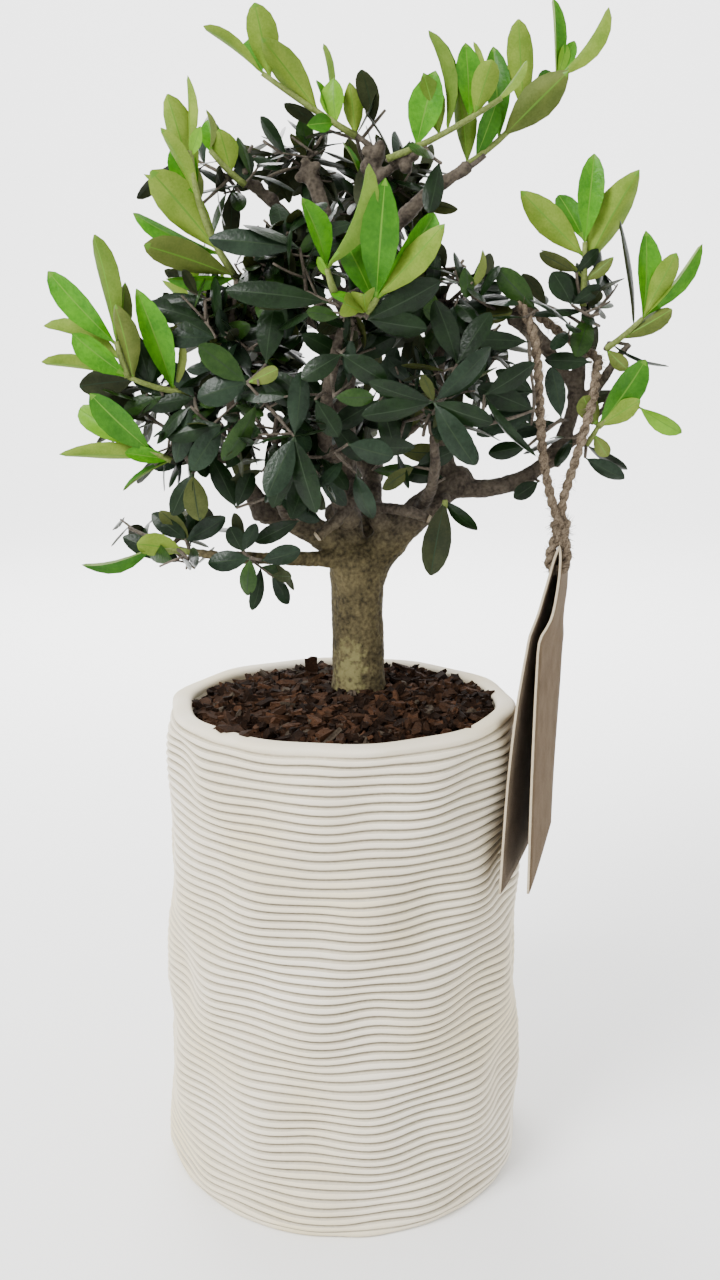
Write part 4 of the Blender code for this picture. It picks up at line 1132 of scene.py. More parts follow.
def obstacle_segments():
    """The limbs, the twine and its knot as straight rods: both ends and the radius."""
    places = [TRUNK_FOOT + Vector((0, 0, level)) * MM for level in TRUNK_LEVELS]
    rods = [(a, b, TRUNK_RADII[3] * MM) for a, b in zip(places, places[1:])]
    for name, _start, _knee, _tip, first, last in LIMBS:
        route = limb_route(name, LIMB_STEPS)
        rods += zip(route, route[1:], limb_radii(first * MM, last * MM, LIMB_STEPS))
    route = twine_route(TWINE_STEPS)
    rods += [(a, b, TWINE_RADIUS) for a, b in zip(route, route[1:])]
    rods.append((KNOT, CARD_PEAK, KNOT_RADIUS))
    starts = np.array([rod[0] for rod in rods])
    ends = np.array([rod[1] for rod in rods])
    return starts, ends - starts, np.array([rod[2] for rod in rods])


def clear_of_limbs(points, rods):
    """True where every point keeps a margin from all limbs, the twine and its knot."""
    starts, spans, radii = rods
    lengths = np.maximum((spans * spans).sum(axis=1), 1e-12)
    for point in points:
        away = np.array(point) - starts
        share = np.clip((away * spans).sum(axis=1) / lengths, 0, 1)
        distance = np.linalg.norm(away - spans * share[:, None], axis=1)
        if (distance < radii + LIMB_MARGIN).any():
            return False
    return True


def space_sites():
    """The points that share out the crown: every hub, shoot foot, middle and tip."""
    sites, owners = [], []
    for name, _limb, hub, _count, _seed in MASSES:
        sites.append(millimetres(hub))
        owners.append(name)
        for mass, foot, tip, _pairs, leaf, _roll in YOUNG_SHOOTS:
            if mass == name:
                foot, tip = millimetres(foot), millimetres(tip)
                beyond = tip + (tip - foot).normalized() * leaf * MM * 0.6
                sites += [foot.lerp(tip, 0.5), tip, beyond]
                owners += [name] * 3
    return np.array(sites), np.array(owners)


def in_own_space(points, mass, sites, owners):
    """True where every point is nearer to the mass's own sites, with a margin to spare."""
    own = sites[owners == mass]
    others = sites[owners != mass]
    for point in points:
        if point.z < CROWN_FLOOR:
            return False
        place = np.array(point)
        near = own[np.argmin(((own - place) ** 2).sum(axis=1))]
        ahead = ((others - place) ** 2).sum(axis=1) - ((near - place) ** 2).sum()
        if (ahead < 2 * SPACE_MARGIN * np.linalg.norm(others - near, axis=1)).any():
            return False
    return True


def leaf_points(root, along, face, length):
    """Points over a leaf's blade, from near its root to its tip."""
    side = along.cross(face)
    points = []
    for share in LEAF_MARKS:
        middle = root + along * length * share + face * LEAF_ARCH * length * 4 * share * (1 - share)
        half = side * length * LEAF_WIDTH * 0.5 * min(1, 2.2 * (1 - share) + 0.12)
        points += [middle, middle + half, middle - half]
    return points


# Where the picture shows sky in the crown or close beside it: the place across and up on the
# trunk's upright plane, as seen from the camera, and its radius, all in millimetres.
SKY_HOLES = (
    (-8.6, 286.8, 3.2), (-8, 278, 2.5), (-51.1, 288.5, 2.8), (-59.8, 266.2, 2.2),
    (-62, 259.9, 3.3), (-24.9, 266.5, 2.9), (-26.3, 258.5, 2.5), (12, 274.4, 3),
    (13.4, 260.2, 3.8), (25.2, 259.5, 4.6), (14.5, 241, 4.4), (23, 241, 2.4), (41.5, 271.8, 3),
    (36.5, 307.7, 3), (-43, 239.3, 3.3), (-31.5, 237.6, 4.7), (-42.2, 228.3, 2.6),
    (-27.6, 223.9, 2.9), (51.2, 296.8, 2.4), (56.2, 296.8, 2.6), (58.1, 288.1, 2.5),
    (51.3, 281.6, 3), (52.7, 251.2, 3.9), (78.2, 265.9, 3.6), (-73.3, 211.7, 8.1),
    (-59.6, 208.9, 7.5), (-47.6, 205.3, 7.5), (-66.1, 352.6, 5.4), (47.2, 344.1, 6.8),
    (59.1, 347.2, 7.5), (37, 321.6, 4.1), (45.1, 320.3, 4.7), (109.1, 295.6, 7.5),
    (103, 272.8, 5.4), (67.3, 320.9, 3.4), (91, 317.2, 2.7), (-77.8, 251.5, 5.5),
    (-85.6, 229.7, 4),
)
SKY_PLACES = np.array([(x, 0, z) for x, z, _radius in SKY_HOLES]) * MM
SKY_RADII = np.array([radius for _x, _z, radius in SKY_HOLES]) * MM
BEHIND_SKY = 2
LEAF_CLEARANCE = 2.6 * MM
LEAF_FRONT = 0.988


def on_a_sight_line(points, ends, radii, reach):
    """Whether a point is within the radius of a line from the camera through one of the ends.

    The line goes on for so many times (reach) its length from the camera to that end.
    """
    offsets = np.array([point - CAMERA_PLACE for point in points])
    sights = ends - np.array(CAMERA_PLACE)
    shares = offsets @ sights.T / (sights ** 2).sum(axis=1)
    gaps = np.linalg.norm(offsets[:, None] - shares[..., None] * sights[None], axis=2)
    return bool(((gaps < radii * shares) & (shares < reach)).any())


def in_the_way(points):
    """Whether a point stands before or behind open sky, or before one of the picture's leaves."""
    return (on_a_sight_line(points, SKY_PLACES, SKY_RADII, BEHIND_SKY)
            or on_a_sight_line(points, SHOWN_PLACES, LEAF_CLEARANCE, LEAF_FRONT))


class Spray:
    """Grows one mass: a stem, twigs by a seeded rule, and leaves in crossed pairs."""

    def __init__(self, name, limb, hub, count, seed, rods, sites, owners):
        self.name = name
        self.rng = random.Random(seed)
        self.rods, self.sites, self.owners = rods, sites, owners
        self.twigs, self.leaves, self.taken = [], [], []
        self.stems, self.shown = [], []
        self.near, self.open_sky = LEAF_APART, False
        tip, heading = LIMB_ARCS[limb][2], limb_heading(limb)
        hub = millimetres(hub)
        slant = heading.angle(hub - tip)
        self.base = tip + heading * (GAP + STEM_RADIUS * math.sin(slant))
        self.hub = hub
        self.twigs.append((self.base, hub, STEM_RADIUS, STEM_TIP_RADIUS, False))
        for mass, foot, end, pairs, leaf, roll in YOUNG_SHOOTS:
            if mass == name:
                self.young_shoot(millimetres(foot), millimetres(end), pairs, leaf * MM, roll)
        for number in range(count):
            self.mature_shoot(number, count)

    def fits(self, points):
        return (clear_of_limbs(points, self.rods)
                and in_own_space(points, self.name, self.sites, self.owners))

    def young_shoot(self, foot, end, pairs, leaf, roll):
        if (foot - self.hub).length > NEAR_HUB:
            self.twigs.append((self.hub, foot, TWIG_RADIUS * 1.15, TWIG_RADIUS, True))
        else:
            foot = self.base.lerp(self.hub, 0.97 - 0.06 * len(self.twigs))
        self.twigs.append((foot, end, TWIG_RADIUS, TWIG_TIP_RADIUS, True))
        self.leaf_pairs(foot, end, pairs, leaf, math.radians(roll), True)

    def mature_shoot(self, number, count):
        """Twig ends are spread evenly over a ball round the hub by the golden angle."""
        height = 1 - 2 * (number + 0.5) / count
        angle = GOLDEN_ANGLE * number + self.rng.uniform(0, 0.5)
        flat = math.sqrt(1 - height * height)
        heading = Vector((flat * math.cos(angle), flat * math.sin(angle), height * 0.8 + 0.12))
        foot = self.base.lerp(self.hub, self.rng.uniform(0.45, 0.98))
        for stretch in (1, 0.75, 0.5):
            end = foot + heading * MATURE_REACH * stretch * self.rng.uniform(0.75, 1.05)
            if self.fits([foot.lerp(end, share) for share in (0.35, 0.6, 0.8, 1)]):
                self.twigs.append((foot, end, TWIG_RADIUS, TWIG_TIP_RADIUS, False))
                roll = self.rng.uniform(0, math.pi)
                self.leaf_pairs(foot, end, MATURE_PAIRS, MATURE_LEAF, roll, False)
                return

    def leaf_pairs(self, foot, end, pairs, length, roll, young):
        """Opposite leaves, each pair turned a quarter from the last; the end pair is closest."""
        span = end - foot
        axis = span.normalized()
        spacing = PAIR_SPACING * (YOUNG_SPACING if young else 1)
        spacing = min(spacing, span.length * 0.85 / max(1, pairs))
        across = axis.orthogonal().normalized()
        for pair in range(pairs):
            place = end - axis * (PAIR_INSET + spacing * pair)
            lean = (YOUNG_LEAN if young else MATURE_LEAN) + PAIR_LEAN * pair
            for half in range(2):
                turn = roll + pair * math.pi / 2 + half * math.pi
                self.leaf(place, axis, across, turn, lean, length, young)
        if young:
            place, turn = end - axis * PAIR_INSET / 2, roll + math.pi / 4
            self.leaf(place, axis, across, turn, END_LEAF_LEAN, length * END_LEAF_SIZE, True)

    def leaf(self, place, axis, across, turn, lean, length, young):
        """Grows one leaf, turned further and made smaller at each try until it has room."""
        for attempt in range(LEAF_TRIES):
            angle = turn + self.rng.uniform(-0.3, 0.3) * (1 + attempt)
            tilt = lean + self.rng.uniform(-0.12, 0.12)
            size = length * self.rng.uniform(*LEAF_SIZES) * (1 - 0.08 * attempt)
            outward = Matrix.Rotation(angle, 3, axis) @ across
            along = axis * math.cos(tilt) + outward * math.sin(tilt)
            along = (along + Vector((0, 0, 0.15 if young else -0.1))).normalized()
            face = axis * math.sin(tilt) - outward * math.cos(tilt)
            face = face + Vector((0, 0, 0.25 if young else 0.9))
            face = (face - along * face.dot(along)).normalized()
            root = place - along * LEAF_SUNK
            points = leaf_points(root, along, face, size)
            if self.fits(points) and self.add(root, along, face, size, young):
                return

    def apart(self, outer):
        for other in self.taken:
            gaps = np.linalg.norm(outer[:, None] - other[None], axis=2)
            if gaps.min() < self.near:
                return False
        return True

    def finer(self, count, seed, young_share):
        """Carries the rule on: more and smaller side twigs on what has grown, within its reach."""
        self.rng = random.Random(seed)
        parents = list(self.twigs)
        for number in range(count):
            foot, end, _radius, _tip_radius, _young = parents[number % len(parents)]
            foot = foot.lerp(end, self.rng.uniform(0.25, 0.95))
            height = self.rng.uniform(-0.9, 1)
            angle = GOLDEN_ANGLE * number * 3 + self.rng.uniform(0, 0.8)
            flat = math.sqrt(1 - height * height)
            heading = Vector((flat * math.cos(angle), flat * math.sin(angle), height * 0.7 + 0.1))
            end = foot + heading * FINE_REACH * self.rng.uniform(0.6, 1.15)
            young = self.rng.random() < young_share and heading.z > 0.1
            points = [foot.lerp(end, share) for share in (0.5, 0.75, 1)]
            if self.fits(points) and not in_the_way(points):
                self.twigs.append((foot, end, FINE_TWIG_RADIUS, FINE_TIP_RADIUS, young))
                roll = self.rng.uniform(0, math.pi)
                length = FINE_LEAF * self.rng.uniform(0.8, 1.15) * (1.3 if young else 1)
                self.leaf_pairs(foot, end, FINE_PAIRS, length, roll, young)

    def without_bare_twigs(self):
        """Leaves out the twigs past the stem that bear no leaf, no shoot and no other twig."""
        borne = [leaf[0] for leaf in self.leaves + self.shown] + [stem[0][0] for stem in self.stems]
        borne += [twig[0] for twig in self.twigs]
        kept = self.twigs[:1]
        for twig in self.twigs[1:]:
            start, end = twig[:2]
            for place in borne:
                nearest, share = intersect_point_line(place, start, end)
                if 0.1 < share < 1.1 and (nearest - place).length < GAP:
                    kept.append(twig)
                    break
        self.twigs = kept

    def pictured(self, kept, seed):
        """Puts the picture's shoots in place of the rule's young ones and thins the old leaves."""
        rng = random.Random(seed)
        self.near, self.open_sky = FINE_APART, True
        grown = [leaf for leaf in self.leaves if not leaf[4] and rng.random() < kept]
        self.twigs = [twig for twig in self.twigs if not twig[4]]
        self.leaves, self.taken, tips = [], [], []
        for mass, foot, knee, tip, rows in SHOOTS:
            if mass != self.name:
                continue
            foot, knee, tip = [millimetres(place) for place in (foot, knee, tip)]
            if foot not in tips:
                wood = self.nearest_wood(foot)
                self.twigs.append((wood, foot, TWIG_RADIUS, SHOOT_RADIUS, False))
            tips.append(tip)
            self.stems.append([
                (through(foot, knee, tip, step / SHOOT_STEPS), SHOOT_RADIUS - SHOOT_TAPER * step)
                for step in range(SHOOT_STEPS + 1)])
            for row in rows:
                self.show(through(foot, knee, tip, row[0]), *row[1:])
        for mass, root, rows in OLD_LEAVES:
            if mass == self.name:
                root = millimetres(root)
                wood = self.nearest_wood(root)
                self.twigs.append((wood, root, TWIG_RADIUS, FINE_TWIG_RADIUS, False))
                for row in rows:
                    self.show(root, *row)
        for root, along, face, length, _young in grown:
            self.add(root, along, face, length * MATURE_SIZE, False)

    def nearest_wood(self, place):
        """The nearest point of the limbs and of this mass's own woody twigs."""
        points = [start.lerp(end, share) for start, end, _radius, _tip_radius, _young in self.twigs
                  for share in (0.2, 0.5, 0.8, 1)]
        return min(points + LIMB_POINTS, key=lambda point: (point - place).length)

    def show(self, root, bearing, lean, length, width, turn, tone):
        """Adds a leaf of the picture, given by its bearing, its lean and its turn in degrees."""
        along = leaf_heading(bearing, lean)
        facing = Vector((0, -1, 0))
        facing = (facing - along * facing.dot(along)).normalized()
        face = Matrix.Rotation(math.radians(turn), 3, along) @ facing
        self.shown.append((root, along, face, length * MM, width * MM, tone))
        self.taken.append(np.array(leaf_points(root, along, face, length * MM)[3:]))

    def add(self, root, along, face, length, young):
        """Adds a leaf of the rule where it has room, behind the picture's own and off the sky."""
        points = leaf_points(root, along, face, length)
        outer = np.array(points[3:])
        if self.open_sky and (outer[:, 1].mean() < FRONT_LIMIT or in_the_way(points)):
            return False
        if not self.apart(outer):
            return False
        self.taken.append(outer)
        self.leaves.append((root, along, face, length, young))
        return True


# How the rule is carried on in each mass: fine twigs, share of the big twigs' leaves that stay,
# and share of the fine twigs that are this year's.
FINER = {
    "top_left": (1, 0.25, 0), "top_middle": (0, 0.15, 0), "top_right_spray": (1, 0.15, 0),
    "upper_left_spray": (7, 0.5, 0), "upper_back": (16, 0.6, 0.1), "shoulder_left": (40, 1, 0),
    "far_left": (36, 1, 0), "low_left": (10, 0.6, 0), "inner_left": (70, 1, 0),
    "front_top": (48, 1, 0), "chest_left": (74, 1, 0), "inner_right": (70, 1, 0),
    "under_right": (0, 0, 0), "shoulder_right": (70, 1, 0), "far_right": (8, 0.4, 0),
    "tip_right": (1, 0.2, 0), "low_right": (7, 0.45, 0), "back_left_spray": (54, 1, 0.1),
    "back_right_spray": (54, 1, 0.05), "back_middle": (60, 1, 0.06), "back_crown": (44, 1, 0.12),
}
FINE_REACH = 12 * MM
FINE_LEAF = 18 * MM
FINE_PAIRS = 2
FINE_APART = 1.1 * MM
FINE_TWIG_RADIUS = 0.6 * MM
FINE_TIP_RADIUS = 0.45 * MM
FINE_SEED = 500
FRONT_LIMIT = -43 * MM
MATURE_SIZE = 0.80
MATURE_WIDE = 0.385
YOUNG_WIDE = 0.30
SHOOT_STEPS = 5
SHOOT_RADIUS = 1.25 * MM
SHOOT_TAPER = 0.08 * MM
CROWN_MIDDLE = Vector((8, 6, 270)) * MM
LIGHT_SEEKING = 0.8

# This year's shoots as they stand in the picture: the mass, then the stem's foot, knee and tip in
# millimetres, then its leaves. A leaf has its share along the stem, its bearing in degrees
# clockwise from straight up, its lean towards the viewer, its length and width in millimetres, its
# turn about its own line from facing the viewer, and its tone.
SHOOTS = (
    ("top_left", (4.7, 1, 356.1), (-8.5, -1, 363.6), (-24.8, -4, 374), (
        (1, -49, 10, 22, 7, 115, "lime"), (0.93, -10, 15, 22, 10, 168, "lime"),
        (1, -18, -35, 15, 9, 10, "bright"), (0.45, -40, 22, 29, 9.5, 170, "lime"),
        (0.25, -5, 0, 14, 8.5, -20, "lime"), (0.33, -14, -5, 13, 6, 60, "bright"),
        (0.33, -1, -20, 26, 6, 95, "grass"), (0, -7, 5, 16, 6.5, 175, "lime"),
        (0.28, -100, 35, 10, 6, 0, "grass"), (0.1, -88, 0, 14, 5, 88, "dark"),
        (0, 35, 10, 15, 6, 100, "dark"))),
    ("top_middle", (14.6, -4, 348.5), (31, -7, 355), (50, -11, 365.5), (
        (0.29, 15, 5, 23, 11.5, -15, "bright"), (0.57, -7, 0, 30, 5.5, 85, "grass"),
        (0.75, -4, -10, 23, 9, 20, "bright"), (0.79, 17, 20, 17, 8, 180, "lime"),
        (0.85, -3, -15, 22, 5, 95, "lime"), (0.95, 42, 10, 15, 5, 125, "lime"),
        (0.05, -22, 0, 16, 5, 92, "dark"), (0.5, -16, 10, 19, 8, 165, "grass"))),
    ("top_right_spray", (39.1, -1, 346.4), (53, 1, 357), (68.9, 3, 373.8), (
        (0.05, -8, 10, 24, 7.5, 160, "grass"), (0.15, 20, 0, 19, 7, 15, "grass"),
        (0.42, -4, -15, 30, 8.5, 5, "grass"), (0.45, 47, 20, 28, 11.5, 187, "khaki"),
        (0.68, -6, 5, 28, 8.5, 175, "lime"), (0.78, 27, -15, 13, 6, 0, "grass"),
        (1, -2, 0, 24, 7.5, 48, "bright"), (1, 17, -5, 11, 4, 20, "lime"),
        (1, 26, -20, 14, 5, 0, "bright"), (1, 41, 10, 25, 7, 125, "lime"))),
    ("shoulder_left", (-33.1, -16, 311.4), (-42, -23, 329), (-44.9, -29, 347.8), (
        (0, -90, 10, 22, 6, -35, "bright"), (0.02, -71, 30, 32, 10, 165, "khaki"),
        (0, 97, 25, 30, 9, -30, "dark"), (0.2, -68, 0, 30, 7.5, -45, "bright"),
        (0.22, -39, 20, 32, 12.5, 173, "lime"), (0.4, -52, -10, 27, 5.5, 112, "lime"),
        (0.68, -14, 5, 29, 8.5, 168, "lime"), (0.62, -23, 20, 24, 6.5, 140, "lime"),
        (0.66, -24, -10, 18, 9, 0, "bright"), (0.6, -20, -25, 15, 7, 180, "khaki"),
        (1, -2, 0, 21, 6, 130, "lime"), (0.95, 25, 25, 10, 4, 0, "lime"))),
    ("upper_left_spray", (-30.8, -3, 340.7), (-36, -4.5, 345), (-41.5, -6, 350.9), (
        (0.4, -14, 20, 14, 8.5, 175, "lime"), (0.7, -20, -20, 16, 7, 0, "bright"),
        (1, 0, 0, 12, 6, 110, "khaki"), (0, -93, 0, 20, 6, 80, "dark"),
        (0.75, -96, 0, 13, 5, 80, "dark"), (0, -4, -10, 12, 7, 10, "dark"))),
    ("far_left", (-48.6, -17, 276.1), (-57.3, -20, 277.2), (-67.1, -24, 281), (
        (0.92, -8, 25, 25, 8.5, 165, "khaki"), (1, -51, 15, 21, 8.5, -5, "bright"),
        (0.98, -75, 10, 27, 6.5, 132, "lime"), (0.9, -95, -15, 18, 9, 175, "dark"),
        (0.3, -17, 15, 34, 9.5, 25, "bright"), (0.29, 15, 10, 16, 5, 120, "khaki"),
        (0.25, 65, 20, 14, 6, 60, "dark"))),
    ("far_left", (-67.1, -24, 281), (-68.6, -25, 286), (-70, -26, 292), (
        (1, -5, 5, 32, 8, 152, "grass"), (0.9, -43, 5, 30, 9, -10, "bright"),
        (0.8, 6, -10, 21, 6, 180, "khaki"), (0.5, -63, -15, 28, 6, 125, "lime"))),
    ("far_left", (-55.2, -18, 254.4), (-60, -19, 256.6), (-64.8, -20, 258.5), (
        (0.6, -44, 20, 27, 10, -10, "grass"), (0.95, -60, -15, 26, 8, 5, "lime"),
        (0.25, -89, 10, 33, 7.5, 148, "lime"), (0, -78, 20, 15, 5.5, 20, "bright"),
        (0, -118, 0, 19, 4.5, 72, "grass"))),
    ("low_left", (-49.8, -19, 224.5), (-55.5, -20, 225.2), (-61.3, -21, 226.4), (
        (0.15, -75, 15, 16, 8.5, 165, "lime"), (1, -107, 0, 25, 6, -42, "grass"))),
    ("front_top", (7.8, -45, 300.1), (9.5, -46.5, 302), (11, -48, 304.3), (
        (0.9, 4.5, 12, 34, 11.5, -8, "grass"), (1, 43, 20, 29, 9, 165, "lime"),
        (0.8, 36, -5, 31, 8.5, 15, "bright"), (0.7, -24, -5, 20, 9.5, 20, "grass"),
        (0.1, -61, 15, 12, 5, 50, "bright"), (0, -70, 68, 22, 7, 180, "lime"),
        (0, -10, 77, 28, 7, 180, "lime"))),
    ("front_top", (-1.6, -46, 306.1), (-2.7, -47.5, 309.3), (-3.6, -49, 312.7), (
        (1, 28, 10, 31, 8, 118, "grass"), (1, -22, 45, 27, 8, 40, "bright"),
        (0.6, -30, 20, 7, 3, 0, "lime"))),
    ("far_right", (79.4, 0, 303.2), (79.3, -1, 313), (78.9, -2, 323.3), (
        (1, 3.6, 5, 27, 8.5, -5, "bright"), (1, -26, -20, 19, 7.5, 10, "grass"),
        (0.78, -48, 10, 30, 10, 172, "lime"), (0.6, 26, 10, 34, 11, 185, "lime"),
        (0.45, -60, 0, 17, 5, 110, "khaki"), (0.4, 49, 5, 12, 5, 150, "khaki"),
        (0, -38, -10, 15, 8.5, 10, "dark"))),
    ("tip_right", (86.4, -6, 289.5), (91.5, -7, 293.5), (97.6, -8, 299.3), (
        (1, -2, 0, 27, 9, 22, "bright"), (0.8, -3, 0, 33, 5, 92, "dark"),
        (1, 22, 20, 23, 7, 170, "lime"), (1, 36, 0, 29, 7.5, 55, "bright"),
        (0.4, 60, 15, 19, 6.5, 165, "khaki"), (0, 135, 20, 10, 5, 180, "khaki"),
        (0.2, 120, 0, 20, 4.5, 84, "dark"))),
    ("low_right", (81, -7, 258.4), (83, -7.5, 261.5), (84.5, -8, 264.4), (
        (1, 34, 10, 26, 11, 15, "grass"), (1, 52, 30, 17, 7, 170, "lime"),
        (0.6, 150, 20, 9, 5, 180, "khaki"), (0, 123, 5, 16, 6.5, 60, "dark"),
        (1, -30, 10, 12, 7.5, 180, "khaki"))),
    ("low_right", (84.5, -8, 264.4), (91, -8.5, 269.5), (97.5, -9, 271), (
        (1, 122, 0, 17, 6.5, 30, "lime"),)),
    ("under_right", (34, -14, 239), (34, -15, 240), (33.9, -15, 241.1), (
        (1, -168, 5, 25, 9.5, 172, "dark"), (1, 138, 0, 15, 6, 30, "dark"))),
)


